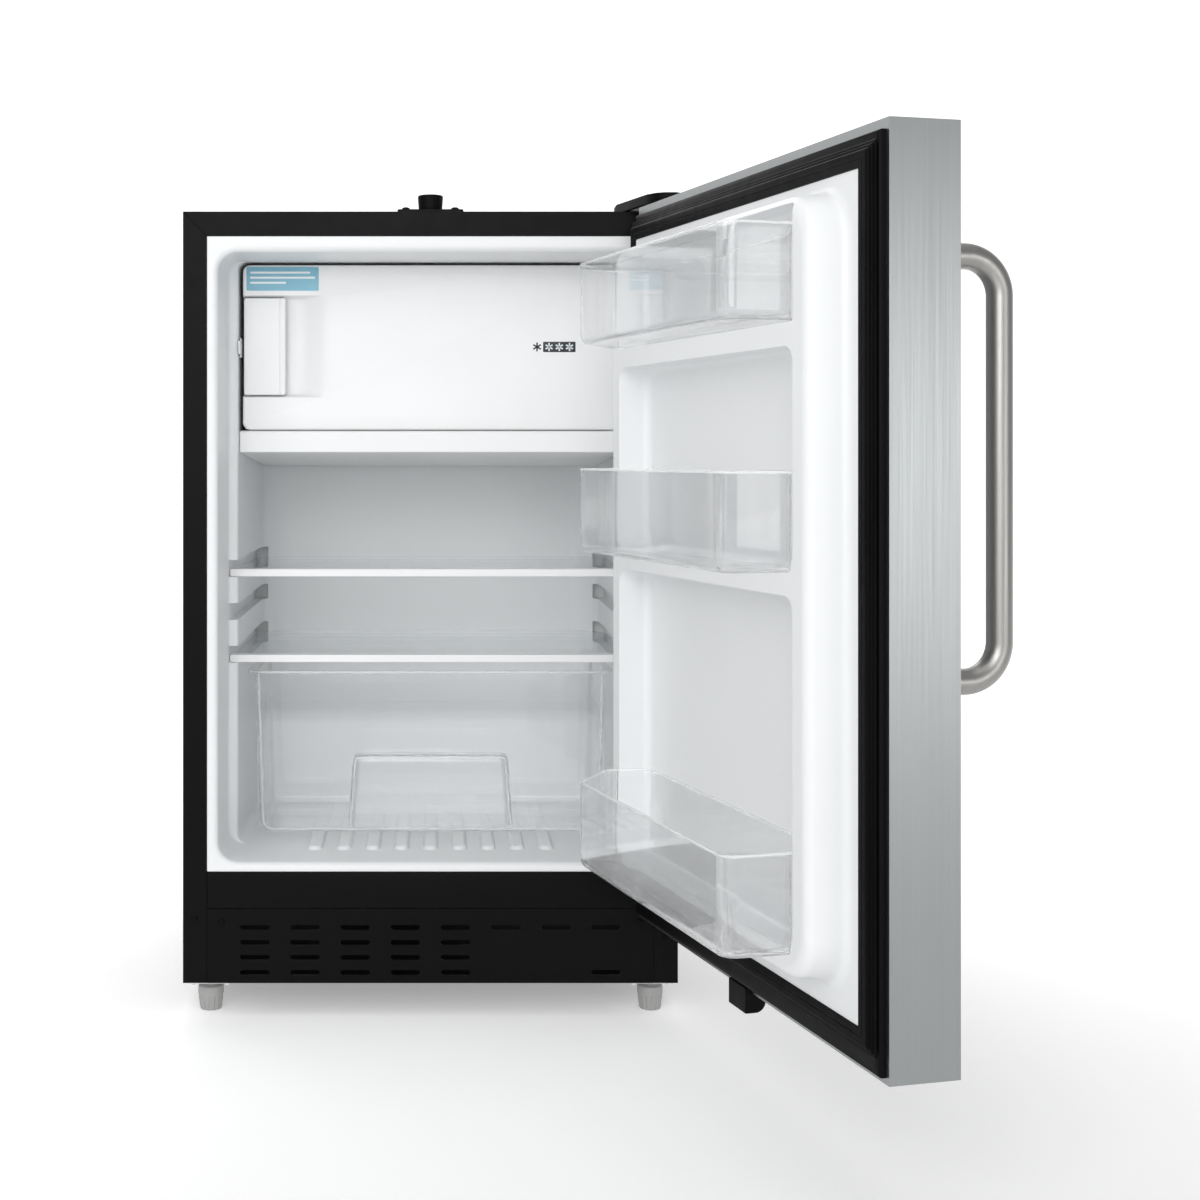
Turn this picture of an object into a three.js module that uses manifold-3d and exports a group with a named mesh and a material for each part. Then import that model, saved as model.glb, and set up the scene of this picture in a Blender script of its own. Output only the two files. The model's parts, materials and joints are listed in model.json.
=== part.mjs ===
// Under-counter mini fridge with a freezer box, shown with its main door open.
// Millimetres, +Z up, +X to the right of a person facing the cabinet, +Y to its back.
// Everything is laid out in the cabinet's frame, where Y = 0 is the cabinet's front
// plane and Z = 0 the floor. The main door is drawn closed and turned about its hinge
// by its group, and the whole model is shifted at the end so that the origin is the
// middle of the floor under it.

import * as THREE from 'three';
import { mergeVertices } from 'three/addons/utils/BufferGeometryUtils.js';
import Module from 'manifold-3d';

const wasm = await Module();
wasm.setup();

// ---------------------------------------------------------------- driving dimensions

const GAP = 0.3; // between pieces that would touch
const TOP = 812.8; // cabinet top above the floor
const BASE = 33.4; // cabinet underside
const HALF = 250; // half the cabinet's width
const DEPTH = 447; // cabinet shell, without the condenser behind it
const SHEET = 1.2; // cabinet sheet metal
const RIM = 24; // black front rim at the sides
const RIM_TOP = 25; // and along the top

const CAVITY = { half: 215, low: 155.2, high: 772.3, back: 395, corner: 20 };
const LINER = { thick: 2, flangeHalf: 226, flangeLow: 146, flangeHigh: 787.9 };
const STEP = { y: 90, half: 204 }; // the side walls step in behind this line
const HUMP = { y: 300, z: 265 }; // rear of the floor, over the machine space
const GROOVES = { bottoms: [346.5, 392, 437.5], height: 18, half: 214 };
const RIB = { count: 9, pitch: 30.2, width: 15, height: 4, front: 58 };

const FASCIA_TOP = 146;
const GRILLE = { top: 108.4, slot: 30, slotHigh: 5, pitch: 50.7, rows: [89.5, 74.3, 59.2, 44] };
const DUCT_TOP = 113; // air duct under the insulated floor
const MACHINE = { y: 326, top: 235 }; // space for the compressor, open at the back

const DIVIDER = { front: 103, high: 593, low: 569.7, lowBack: 553.5 };
const FREEZER = { half: 200, low: 593.8, high: 769.4, front: 100, back: 126 };
const FREEZER_PIVOT = { x: 194, y: 106 };
const LATCH = { left: -199, right: -154.5, low: 630.8, high: 734.3, scoop: -107 };

const SHELF = { front: 95, back: 391, half: 213, tops: [445.5, 354.4] };
const CRISPER = { front: 118, back: 293, low: 159.6, high: 334.6, half: 190, rim: 197 };

const DOOR = { width: 500, low: 108.9, high: 812, thick: 58, proud: 14 };
const DOOR_PIVOT = { x: 235, y: -39 };
const DOOR_OPEN = 104.5; // degrees, as the model stands
const LINING = { u: 23.3, low: 146, high: 778, v: 12.3 };
const DIKE = { crest: 45, outer: 41, inner: 65, low: 170, high: 763 };
const BIN_BOTTOMS = [668, 478, 190];
const BIN = { tall: [74, 76.5, 78], u0: 62, u1: 438, neck0: 66.5, front: 103, wall: 2.5 };
const HANDLE = { u: 455, reach: 60, radius: 10, bend: 30, low: 393.9, high: 717.9 };

const FOOT = { x: 225, front: 28, back: 400, top: 26, bottom: 22 };
const STOP = { y: 17, plate: 67, deep: 25 };

// ------------------------------------------------------------------------ materials

function finish(color, roughness, metalness = 0, opacity = 1) {
  return new THREE.MeshStandardMaterial({
    color, roughness, metalness, opacity, transparent: opacity < 1,
  });
}

const LOOK = {
  blackSteel: finish(0x1c1c1e, 0.45, 0.2),
  blackPlastic: finish(0x151517, 0.5),
  whiteLiner: finish(0xeef0f1, 0.25),
  stainless: finish(0x9ea3a5, 0.35, 1),
  handle: finish(0xa6a29b, 0.3, 1),
  zinc: finish(0xb9bcbd, 0.4, 1),
  gasket: finish(0x0c0c0d, 0.7),
  foam: finish(0xe8dca8, 0.9),
  aluminium: finish(0xc3c7ca, 0.4, 1),
  clear: finish(0xe6eef2, 0.08, 0, 0.3),
  glass: finish(0xd3e2e6, 0.05, 0, 0.35),
  greyPlastic: finish(0x8a8a89, 0.5),
  copper: finish(0x2a2a2c, 0.5, 0.5),
};

// --------------------------------------------------------------- shapes and booleans

function toSolid(geometry) {
  const bare = geometry.clone();
  bare.deleteAttribute('normal');
  bare.deleteAttribute('uv');
  const merged = mergeVertices(bare, 1e-4);
  return new wasm.Manifold(new wasm.Mesh({
    numProp: 3,
    vertProperties: new Float32Array(merged.attributes.position.array),
    triVerts: new Uint32Array(merged.index.array),
  }));
}

function fromSolid(solid) {
  const mesh = solid.getMesh();
  const geometry = new THREE.BufferGeometry();
  geometry.setAttribute('position', new THREE.BufferAttribute(mesh.vertProperties, 3));
  geometry.setIndex(new THREE.BufferAttribute(mesh.triVerts, 1));
  geometry.computeVertexNormals();
  return geometry;
}

function join(first, ...others) {
  return fromSolid(others.reduce((sum, next) => sum.add(toSolid(next)), toSolid(first)));
}

function cut(body, ...tools) {
  return fromSolid(tools.reduce((rest, tool) => rest.subtract(toSolid(tool)), toSolid(body)));
}

function block(x0, x1, y0, y1, z0, z1) {
  return new THREE.BoxGeometry(x1 - x0, y1 - y0, z1 - z0)
    .translate((x0 + x1) / 2, (y0 + y1) / 2, (z0 + z1) / 2);
}

function outline(points) {
  return new THREE.Shape(points.map(([x, y]) => new THREE.Vector2(x, y)));
}

// A rectangle with its own radius at each corner: low left, low right, high right, high left.
function rounded(x0, x1, y0, y1, ...radii) {
  const [a, b, c, d] = radii.length === 4 ? radii : Array(4).fill(radii[0]);
  const shape = new THREE.Shape();
  shape.moveTo(x0 + a, y0);
  shape.lineTo(x1 - b, y0);
  if (b) shape.absarc(x1 - b, y0 + b, b, -Math.PI / 2, 0);
  shape.lineTo(x1, y1 - c);
  if (c) shape.absarc(x1 - c, y1 - c, c, 0, Math.PI / 2);
  shape.lineTo(x0 + d, y1);
  if (d) shape.absarc(x0 + d, y1 - d, d, Math.PI / 2, Math.PI);
  shape.lineTo(x0, y0 + a);
  if (a) shape.absarc(x0 + a, y0 + a, a, Math.PI, 1.5 * Math.PI);
  return shape;
}

function extrude(shape, depth, curveSegments) {
  return new THREE.ExtrudeGeometry(shape, { depth, bevelEnabled: false, curveSegments });
}

// An outline in X and Y, standing between two heights.
function plan(shape, z0, z1, segments = 4) {
  return extrude(shape, z1 - z0, segments).translate(0, 0, z0);
}

// An outline in X and Z, as seen from the front, running between two depths.
function front(shape, y0, y1, segments = 4) {
  return extrude(shape, y1 - y0, segments).rotateX(Math.PI / 2).translate(0, y1, 0);
}

// An outline in Y and Z, as seen from the right, running between two widths.
function side(shape, x0, x1, segments = 4) {
  const turn = new THREE.Matrix4().makeBasis(
    new THREE.Vector3(0, 1, 0), new THREE.Vector3(0, 0, 1), new THREE.Vector3(1, 0, 0),
  );
  return extrude(shape, x1 - x0, segments).applyMatrix4(turn).translate(x0, 0, 0);
}

function rodZ(x, y, z0, z1, radius, top = radius, sides = 16) {
  return new THREE.CylinderGeometry(top, radius, z1 - z0, sides)
    .rotateX(Math.PI / 2).translate(x, y, (z0 + z1) / 2);
}

function rodY(x, z, y0, y1, radius, sides = 12) {
  return new THREE.CylinderGeometry(radius, radius, y1 - y0, sides).translate(x, (y0 + y1) / 2, z);
}

function rodX(y, z, x0, x1, radius, sides = 20) {
  return new THREE.CylinderGeometry(radius, radius, x1 - x0, sides)
    .rotateZ(Math.PI / 2).translate((x0 + x1) / 2, y, z);
}

// A round bar along a list of straight runs, with its corners bent to one radius.
function bentBar(points, radius, bend, sides, steps) {
  const path = new THREE.CurvePath();
  const corners = points.map((p) => new THREE.Vector3(...p));
  let from = corners[0];
  for (let i = 1; i < corners.length - 1; i += 1) {
    const before = corners[i].clone().sub(corners[i - 1]).setLength(bend);
    const after = corners[i + 1].clone().sub(corners[i]).setLength(bend);
    const start = corners[i].clone().sub(before);
    const end = corners[i].clone().add(after);
    const grip = 0.5523;
    path.add(new THREE.LineCurve3(from, start));
    path.add(new THREE.CubicBezierCurve3(
      start,
      start.clone().addScaledVector(before, grip),
      end.clone().addScaledVector(after, -grip),
      end,
    ));
    from = end;
  }
  path.add(new THREE.LineCurve3(from, corners[corners.length - 1]));
  const section = new THREE.Shape();
  for (let i = 0; i < sides; i += 1) {
    const angle = ((i + 0.5) / sides) * 2 * Math.PI;
    const [x, y] = [radius * Math.cos(angle), radius * Math.sin(angle)];
    if (i === 0) section.moveTo(x, y);
    else section.lineTo(x, y);
  }
  section.closePath();
  return new THREE.ExtrudeGeometry(section, { steps, extrudePath: path, bevelEnabled: false });
}

// ------------------------------------------------------------------ the scene's groups

const fridge = new THREE.Group();
const cabinet = new THREE.Group();
fridge.add(cabinet);

const door = new THREE.Group();
door.position.set(DOOR_PIVOT.x, DOOR_PIVOT.y, 0);
door.rotation.z = THREE.MathUtils.degToRad(DOOR_OPEN);
cabinet.add(door);

function place(group, name, geometry, material) {
  const mesh = new THREE.Mesh(geometry, material);
  mesh.name = name;
  if (group === door) mesh.position.set(-DOOR_PIVOT.x, -DOOR_PIVOT.y, 0);
  group.add(mesh);
  return mesh;
}

// ------------------------------------------------------------------------ the cabinet

// One wrapped sheet: two sides and the top, with a front rim and a narrow back flange.
function outerShell() {
  const whole = block(-HALF, HALF, 0, DEPTH, BASE, TOP);
  const inside = block(-HALF + SHEET, HALF - SHEET, SHEET, DEPTH - SHEET, BASE - 1, TOP - SHEET);
  const mouth = block(-HALF + RIM, HALF - RIM, -1, DEPTH / 2, BASE - 1, TOP - RIM_TOP + GAP);
  const rear = block(-HALF + 12, HALF - 12, DEPTH / 2, DEPTH + 1, BASE - 1, TOP - 12);
  return cut(whole, inside, mouth, rear);
}
place(cabinet, 'outer_shell', outerShell(), LOOK.blackSteel);

// Ribbed back sheet, above the machine space.
function backPanel() {
  const y = DEPTH - SHEET - GAP;
  const inner = HALF - SHEET - GAP;
  const sheet = block(-inner, inner, y - SHEET, y, MACHINE.top + 4, TOP - SHEET - GAP);
  const clip = block(-60, 60, y - 0.2, y + 3, 700, 712);
  return join(sheet, clip);
}
place(cabinet, 'back_panel', backPanel(), LOOK.blackSteel);

// Steel tray across the bottom, with a clearance hole over each foot.
function basePan() {
  const inner = HALF - SHEET - GAP;
  const last = DEPTH - SHEET - GAP;
  const first = 2 + GAP;
  const tray = cut(
    block(-inner, inner, first, last, BASE, BASE + 20),
    block(-inner + 1.5, inner - 1.5, 0, last - 1.5, BASE + 1.5, BASE + 21),
    block(-inner - 1, inner + 1, 0, 13, BASE + 1.5, BASE + 21),
  );
  const holes = [];
  for (const sx of [-1, 1]) {
    for (const y of [FOOT.front, FOOT.back]) holes.push(rodZ(sx * FOOT.x, y, BASE - 1, BASE + 3, 5.5));
  }
  return cut(tray, ...holes);
}
place(cabinet, 'base_pan', basePan(), LOOK.blackSteel);

// Sheet under the insulation: over the air duct, then up and over the machine space.
function insulationBase() {
  const inner = HALF - SHEET - GAP;
  const rear = DEPTH - SHEET - GAP;
  const run = outline([
    [SHEET + 2, DUCT_TOP], [MACHINE.y, DUCT_TOP], [MACHINE.y, MACHINE.top], [rear, MACHINE.top],
    [rear, MACHINE.top + SHEET], [MACHINE.y - SHEET, MACHINE.top + SHEET],
    [MACHINE.y - SHEET, DUCT_TOP + SHEET], [SHEET + 2, DUCT_TOP + SHEET],
  ]);
  return side(run, -inner, inner);
}
place(cabinet, 'insulation_base_plate', insulationBase(), LOOK.zinc);

place(cabinet, 'front_fascia', block(
  -LINER.flangeHalf + GAP, LINER.flangeHalf - GAP, 0, 2, GRILLE.top + GAP, FASCIA_TOP - GAP,
), LOOK.blackSteel);

// The kick grille: a plate with turned edges and rounded air slots.
function kickGrille() {
  const half = LINER.flangeHalf - GAP;
  const plate = front(rounded(-half, half, BASE, GRILLE.top, 0), 0, 2);
  const lip = block(-half, half, 1, 9, GRILLE.top - 2, GRILLE.top);
  const toe = block(-half, half, 1, 9, BASE + 1.9, BASE + 3.9);
  const slots = [];
  const slotAt = (x, z) => front(rounded(
    x - GRILLE.slot / 2, x + GRILLE.slot / 2, z - GRILLE.slotHigh / 2, z + GRILLE.slotHigh / 2, 2.4,
  ), -1, 3, 2);
  for (let column = 0; column < 8; column += 1) {
    const x = (column - 3.5) * GRILLE.pitch;
    GRILLE.rows.forEach((z, row) => {
      const full = column < 5;
      const lastOne = column === 7 && row === GRILLE.rows.length - 1;
      if (full || row === 0 || lastOne) slots.push(slotAt(x, z));
    });
  }
  return cut(join(plate, lip, toe), ...slots);
}
place(cabinet, 'kick_grille', kickGrille(), LOOK.blackPlastic);

function screwHead(x, z) {
  return join(rodY(x, z, -1.9, -GAP, 3.6, 10), rodY(x, z, -2.3, -1.5, 2.4, 10));
}
for (const [name, x, z] of [
  ['rim_screw_left', -238, 98], ['rim_screw_right', 238, 80],
  ['grille_screw_left', -211, 95], ['grille_screw_right', 211, 95],
]) {
  place(cabinet, name, screwHead(x, z), LOOK.blackSteel);
}

// ----------------------------------------------------- the liner and its insulation

// The space inside the liner, grown by a margin for the liner's own back and the foam.
function cavity(margin) {
  const m = margin;
  const rear = CAVITY.back + m;
  const mouth = front(rounded(
    -CAVITY.half - m, CAVITY.half + m, CAVITY.low - m, CAVITY.high + m, CAVITY.corner + m,
  ), -1, STEP.y + m, 5);
  const low = CAVITY.low - m;
  const high = CAVITY.high + m;
  const room = plan(rounded(
    -STEP.half - m, STEP.half + m, STEP.y - 20, rear, 0, 0, 34 + m, 34 + m,
  ), low, high, 5);
  const hump = side(outline([
    [HUMP.y + m, low - 1], [rear + 1, low - 1], [rear + 1, HUMP.z - m],
    [HUMP.y + 14 + m, HUMP.z - m], [HUMP.y + m, HUMP.z - 14 - m],
  ]), -STEP.half - m - 1, STEP.half + m + 1);
  let space = join(mouth, cut(room, hump));
  for (const z of GROOVES.bottoms) {
    const half = GROOVES.half + m;
    space = join(space, block(
      -half, half, STEP.y - 5, SHELF.back + 2 + m, z - m, z + GROOVES.height + m,
    ));
  }
  return space;
}

function innerLiner() {
  const flange = block(
    -LINER.flangeHalf + GAP, LINER.flangeHalf - GAP, 0, LINER.thick,
    LINER.flangeLow, LINER.flangeHigh,
  );
  const skin = cut(join(flange, cut(cavity(LINER.thick), block(-300, 300, -50, 0, 0, 900))), cavity(0));
  const ribs = [];
  for (let i = 0; i < RIB.count; i += 1) {
    const x = (i - (RIB.count - 1) / 2) * RIB.pitch;
    ribs.push(plan(
      rounded(x - RIB.width / 2, x + RIB.width / 2, RIB.front, HUMP.y + 1, 7, 7, 0, 0),
      CAVITY.low - 0.5, CAVITY.low + RIB.height - 0.2, 2,
    ));
  }
  return join(skin, ...ribs);
}
place(cabinet, 'inner_liner', innerLiner(), LOOK.whiteLiner);

function foamInsulation() {
  const inner = HALF - SHEET - GAP;
  const rear = DEPTH - 2 * SHEET - 2 * GAP;
  const body = side(outline([
    [2 + GAP, DUCT_TOP + SHEET + GAP], [MACHINE.y - SHEET - GAP, DUCT_TOP + SHEET + GAP],
    [MACHINE.y - SHEET - GAP, MACHINE.top + SHEET + GAP + 3],
    [rear, MACHINE.top + SHEET + GAP + 3], [rear, TOP - SHEET - GAP], [2 + GAP, TOP - SHEET - GAP],
  ]), -inner, inner);
  return cut(body, cavity(LINER.thick + GAP));
}
place(cabinet, 'foam_insulation', foamInsulation(), LOOK.foam);

// The freezer's insulated floor, with its underside falling to the back.
function freezerDivider() {
  const half = STEP.half - GAP;
  const rear = CAVITY.back - 2;
  const body = side(outline([
    [DIVIDER.front, DIVIDER.low], [rear, DIVIDER.lowBack], [rear, DIVIDER.high],
    [DIVIDER.front + 2, DIVIDER.high], [DIVIDER.front, DIVIDER.high - 2],
  ]), -half, half);
  const corners = plan(rounded(-half, half, 0, rear, 0, 0, 35, 35), 500, 650, 5);
  return fromSolid(toSolid(body).intersect(toSolid(corners)));
}
place(cabinet, 'freezer_divider', freezerDivider(), LOOK.whiteLiner);

// Roll-bonded plate bent round the freezer's ceiling and sides.
function evaporatorPlate() {
  const half = STEP.half - 3;
  const [y0, y1] = [136, 352];
  const [low, high] = [DIVIDER.high + 2, CAVITY.high - 2.5];
  const outer = front(rounded(-half, half, low, high, 0, 0, 12, 12), y0, y1, 3);
  const inner = front(rounded(
    -half + 1.6, half - 1.6, low - 5, high - 1.6, 0, 0, 10.5, 10.5,
  ), y0 - 1, y1 + 1, 3);
  return cut(outer, inner);
}
place(cabinet, 'evaporator_plate', evaporatorPlate(), LOOK.aluminium);

place(cabinet, 'freezer_catch', join(
  block(-STEP.half + GAP, -201.3, 92, 112, 671, 691),
  block(-STEP.half + GAP, -201.8, 88, 93, 674, 688),
), LOOK.whiteLiner);

// A shallow control box on the right wall, with its dial turning about an axis along X.
const CONTROL = { face: 184, dialFace: 172, y: 181, z: 503, radius: 17, shaft: 2.9 };

function thermostatHousing() {
  const wall = STEP.half - GAP;
  const { face, y, z, shaft } = CONTROL;
  return cut(
    front(rounded(face, wall, z - 45, z + 45, 12, 0, 0, 12), y - 51, y + 51, 3),
    block(face + 6, wall + 1, y - 43, y + 43, z - 37, z + 37),
    rodX(y, z, face - 5, face + 10, shaft + 0.5, 12),
  );
}
place(cabinet, 'thermostat_housing', thermostatHousing(), LOOK.whiteLiner);

function thermostatKnob() {
  const { face, dialFace, y, z, radius, shaft } = CONTROL;
  const grip = block(dialFace - 5, dialFace + 1, y - 2.5, y + 2.5, z - radius + 1.5, z + radius - 1.5);
  const dial = join(rodX(y, z, dialFace, face - 0.4, radius, 24), grip);
  return join(dial, rodX(y, z, dialFace + 4, face + 12, shaft, 12));
}
place(cabinet, 'thermostat_knob', thermostatKnob(), LOOK.whiteLiner);

// --------------------------------------------------------- hinges and counter stop

// Flat steel plate on the cabinet's top with its pin riveted on, reaching over the door.
function topHinge() {
  const plate = plan(outline([
    [200, 40], [200, 8], [223, -44], [228, -50], [242, -50], [246, -44], [246, 40],
  ]), TOP + GAP, TOP + 3);
  const pin = rodZ(DOOR_PIVOT.x, DOOR_PIVOT.y, 798, TOP + 3, 4, 4, 16);
  return join(plate, pin);
}
place(cabinet, 'top_hinge', topHinge(), LOOK.zinc);

// Moulded cap over the top hinge, hollow underneath.
function hingeCover() {
  const shell = (edge, z0, z1) => plan(outline([
    [190 + edge, 46 - edge], [190 + edge, 22], [212 + edge, -50], [220 + edge, -62 + edge],
    [228, -66 + edge], [240 - edge, -66 + edge], [248 - edge, -58 + edge], [248 - edge, 46 - edge],
  ]), z0, z1);
  return cut(shell(0, TOP + GAP, TOP + 10), shell(1.6, TOP - 1, TOP + 8));
}
place(cabinet, 'top_hinge_cover', hingeCover(), LOOK.blackPlastic);

function bottomHinge() {
  const shelf = plan(rounded(220, 249, -54, -GAP, 10, 10, 0, 0), DOOR.low - 5, DOOR.low - 2, 3);
  const tab = block(226, 249, -3.3, -GAP, 88, DOOR.low - 2);
  const pin = rodZ(DOOR_PIVOT.x, DOOR_PIVOT.y, DOOR.low - 3, DOOR.low + 13, 4, 4, 16);
  return join(shelf, tab, pin);
}
place(cabinet, 'bottom_hinge', bottomHinge(), LOOK.blackSteel);

function stopPlate() {
  const half = STOP.plate / 2;
  const plate = plan(
    rounded(-half, half, STOP.y - STOP.deep / 2, STOP.y + STOP.deep / 2, 4), TOP + GAP, TOP + 3, 2,
  );
  return cut(plate, rodZ(0, STOP.y, TOP - 1, TOP + 4, 5));
}
place(cabinet, 'counter_stop_plate', stopPlate(), LOOK.blackSteel);

for (const [name, x] of [['counter_stop_screw_left', -25], ['counter_stop_screw_right', 25]]) {
  place(cabinet, name, rodZ(x, STOP.y, TOP + 3 + GAP, TOP + 6.4, 4.4, 3.4, 12), LOOK.blackSteel);
}

place(cabinet, 'counter_stop_knob', join(
  rodZ(0, STOP.y, TOP + 3 + GAP, TOP + 18.3, 12, 13, 20),
  rodZ(0, STOP.y, TOP + 0.4, TOP + 4, 4.2, 4.2, 16),
), LOOK.blackPlastic);

// ------------------------------------------------------------------ the cold machine

// Hermetic compressor: a two-part shell, three feet on a plate and two stub pipes.
function compressor() {
  const [x, y] = [-60, 386];
  const profile = [
    [0, 58], [34, 58], [54, 66], [57, 84], [57, 96], [60, 98], [60, 103], [57, 105],
    [56, 140], [48, 160], [26, 172], [0, 174],
  ].map(([r, z]) => new THREE.Vector2(r, z));
  const can = new THREE.LatheGeometry(profile, 24).rotateX(Math.PI / 2).translate(x, y, 0);
  const foot = plan(rounded(x - 82, x + 82, y - 40, y + 40, 12), 54, 60, 2);
  const bolt = (sx) => rodZ(x + sx * 70, y, 36, 56, 6, 6, 10);
  const stubs = [rodZ(x + 20, y + 46, 140, 196, 4, 4, 8), rodZ(x - 20, y + 46, 140, 196, 4, 4, 8)];
  return join(can, foot, bolt(-1), bolt(1), ...stubs);
}
place(cabinet, 'compressor', compressor(), LOOK.blackPlastic);

place(cabinet, 'start_relay_box', join(
  plan(rounded(4, 42, 368, 408, 4), 76, 136, 2),
  rodX(388, 90, 41, 50, 7, 12),
), LOOK.blackPlastic);

// Evaporation tray over the compressor, which the defrost drain drips into.
function drainPan() {
  const rim = plan(rounded(-128, 60, 336, 438, 10), 203, 226, 2);
  const bowl = plan(rounded(-126, 58, 338, 436, 8), 205, 227, 2);
  return cut(rim, bowl);
}
place(cabinet, 'drain_pan', drainPan(), LOOK.blackPlastic);

// Serpentine condenser tube with its wires, hung behind the back panel.
function condenser() {
  const y = DEPTH + 16;
  const turns = 9;
  const [low, high] = [280, 740];
  const pitch = (high - low) / turns;
  const points = [[-205, y, low]];
  for (let i = 0; i <= turns; i += 1) {
    const z = low + i * pitch;
    const [from, to] = i % 2 === 0 ? [-205, 205] : [205, -205];
    if (i > 0) points.push([from, y, z]);
    points.push([to, y, z]);
  }
  const tube = bentBar(points, 3, pitch / 2 - 0.5, 6, 150);
  const wires = [];
  for (let i = 0; i < 8; i += 1) {
    const x = -154 + i * 44;
    wires.push(block(x - 1, x + 1, y + 2, y + 4.6, low - 12, high + 12));
  }
  const brackets = [];
  for (const x of [-190, 190]) {
    for (const z of [low + pitch, high - pitch]) {
      brackets.push(block(x - 6, x + 6, DEPTH - SHEET, y + 1, z - 2, z + 2));
    }
  }
  return join(tube, ...wires, ...brackets);
}
place(cabinet, 'condenser_coil', condenser(), LOOK.copper);

// Moulded gland in the rear edge of the tray where a supply lead would come out.
place(cabinet, 'supply_gland', cut(
  join(
    rodY(120, BASE + 32, DEPTH - 20, DEPTH - 2, 12, 16),
    rodY(120, BASE + 32, DEPTH - 23, DEPTH - 16, 15, 16),
  ),
  rodY(120, BASE + 32, DEPTH - 30, DEPTH + 3, 4.5, 12),
), LOOK.blackPlastic);

// ---------------------------------------------------------------- feet and brackets

function footPlate(x, y) {
  const plate = plan(rounded(x - 23, x + 23, y - 20, y + 20, 3), BASE - 3, BASE - GAP, 2);
  const heads = [-1, 1].map((s) => rodZ(x + s * 18, y - 12, BASE - 6, BASE - 2, 4, 4, 6));
  return cut(join(plate, ...heads), rodZ(x, y, 0, 60, 5.2));
}

function levellingFoot(x, y) {
  const profile = [
    [0, 0], [FOOT.bottom / 2 - 1, 0], [FOOT.bottom / 2, 1.5], [FOOT.top / 2 - 0.4, 15],
    [FOOT.top / 2, 18], [FOOT.top / 2, 24], [FOOT.top / 2 - 3, 26.6], [4.6, 26.6],
    [4.6, BASE + 22], [3.6, BASE + 24], [0, BASE + 24],
  ].map(([r, z]) => new THREE.Vector2(r, z));
  return new THREE.LatheGeometry(profile, 16).rotateX(Math.PI / 2).translate(x, y, 0);
}

for (const [end, y] of [['front', FOOT.front], ['rear', FOOT.back]]) {
  for (const [hand, x] of [['left', -FOOT.x], ['right', FOOT.x]]) {
    place(cabinet, `foot_plate_${end}_${hand}`, footPlate(x, y), LOOK.zinc);
    place(cabinet, `foot_${end}_${hand}`, levellingFoot(x, y), LOOK.greyPlastic);
  }
}

// ------------------------------------------------------------------ the freezer door

function freezerDoor() {
  const { half, low, high, front: y0, back: y1 } = FREEZER;
  const slab = front(rounded(-half, half, low, high, 8), y0, y1, 4);
  const recess = front(rounded(
    -half - 1, LATCH.scoop, LATCH.low - 1.5, LATCH.high + 1.5, 0, 20, 20, 0,
  ), y0 - 1, y0 + 14, 4);
  const pins = [[low - 1, low + 10], [high - 10, high + 1]].map(
    ([z0, z1]) => rodZ(FREEZER_PIVOT.x, FREEZER_PIVOT.y, z0, z1, 2.6, 2.6, 12),
  );
  return cut(slab, recess, ...pins);
}
place(cabinet, 'freezer_door', freezerDoor(), LOOK.whiteLiner);

function freezerGasket() {
  const y = FREEZER.back + GAP;
  const ring = (inset) => rounded(
    -FREEZER.half + inset, FREEZER.half - inset, FREEZER.low + inset, FREEZER.high - inset, 6,
  );
  return cut(front(ring(5), y, y + 5, 2), front(ring(14), y - 1, y + 6, 2));
}
place(cabinet, 'freezer_gasket', freezerGasket(), finish(0xd9dcdd, 0.7));

// Lever in the left of the freezer door: its right edge is pulled to free the catch.
function freezerLatch() {
  const y = FREEZER.front;
  const lever = side(outline([
    [y + 1.5, LATCH.low], [y + 1.5, LATCH.high], [y + 7, LATCH.high], [y + 7, LATCH.low],
  ]), LATCH.left, LATCH.right);
  const grip = block(LATCH.right - 5, LATCH.right, y, y + 9, LATCH.low, LATCH.high);
  return join(lever, grip);
}
place(cabinet, 'freezer_latch', freezerLatch(), LOOK.whiteLiner);

for (const [name, z0, z1] of [
  ['freezer_pin_lower', DIVIDER.high + GAP, FREEZER.low + 9],
  ['freezer_pin_upper', FREEZER.high - 9, CAVITY.high - GAP],
]) {
  place(cabinet, name, rodZ(FREEZER_PIVOT.x, FREEZER_PIVOT.y, z0, z1, 2.2, 2.2, 12), LOOK.zinc);
}

// ------------------------------------------------------------------ shelves, crisper

function shelfGlass(top) {
  return plan(rounded(
    -SHELF.half + 1, SHELF.half - 1, SHELF.front + 4, SHELF.back, 0, 0, 36, 36,
  ), top - 6.6, top - 2.6, 4);
}

function shelfTrim(top) {
  const bar = front(rounded(-SHELF.half, SHELF.half, top - 7.6, top, 1.5), SHELF.front, SHELF.front + 13, 2);
  const groove = block(
    -SHELF.half - 1, SHELF.half + 1, SHELF.front + 3.5, SHELF.front + 20, top - 6.9, top - 2.3,
  );
  return cut(bar, groove);
}

SHELF.tops.forEach((top, i) => {
  const name = ['upper', 'lower'][i];
  place(cabinet, `${name}_shelf_glass`, shelfGlass(top), LOOK.glass);
  place(cabinet, `${name}_shelf_trim`, shelfTrim(top), LOOK.whiteLiner);
});

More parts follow.
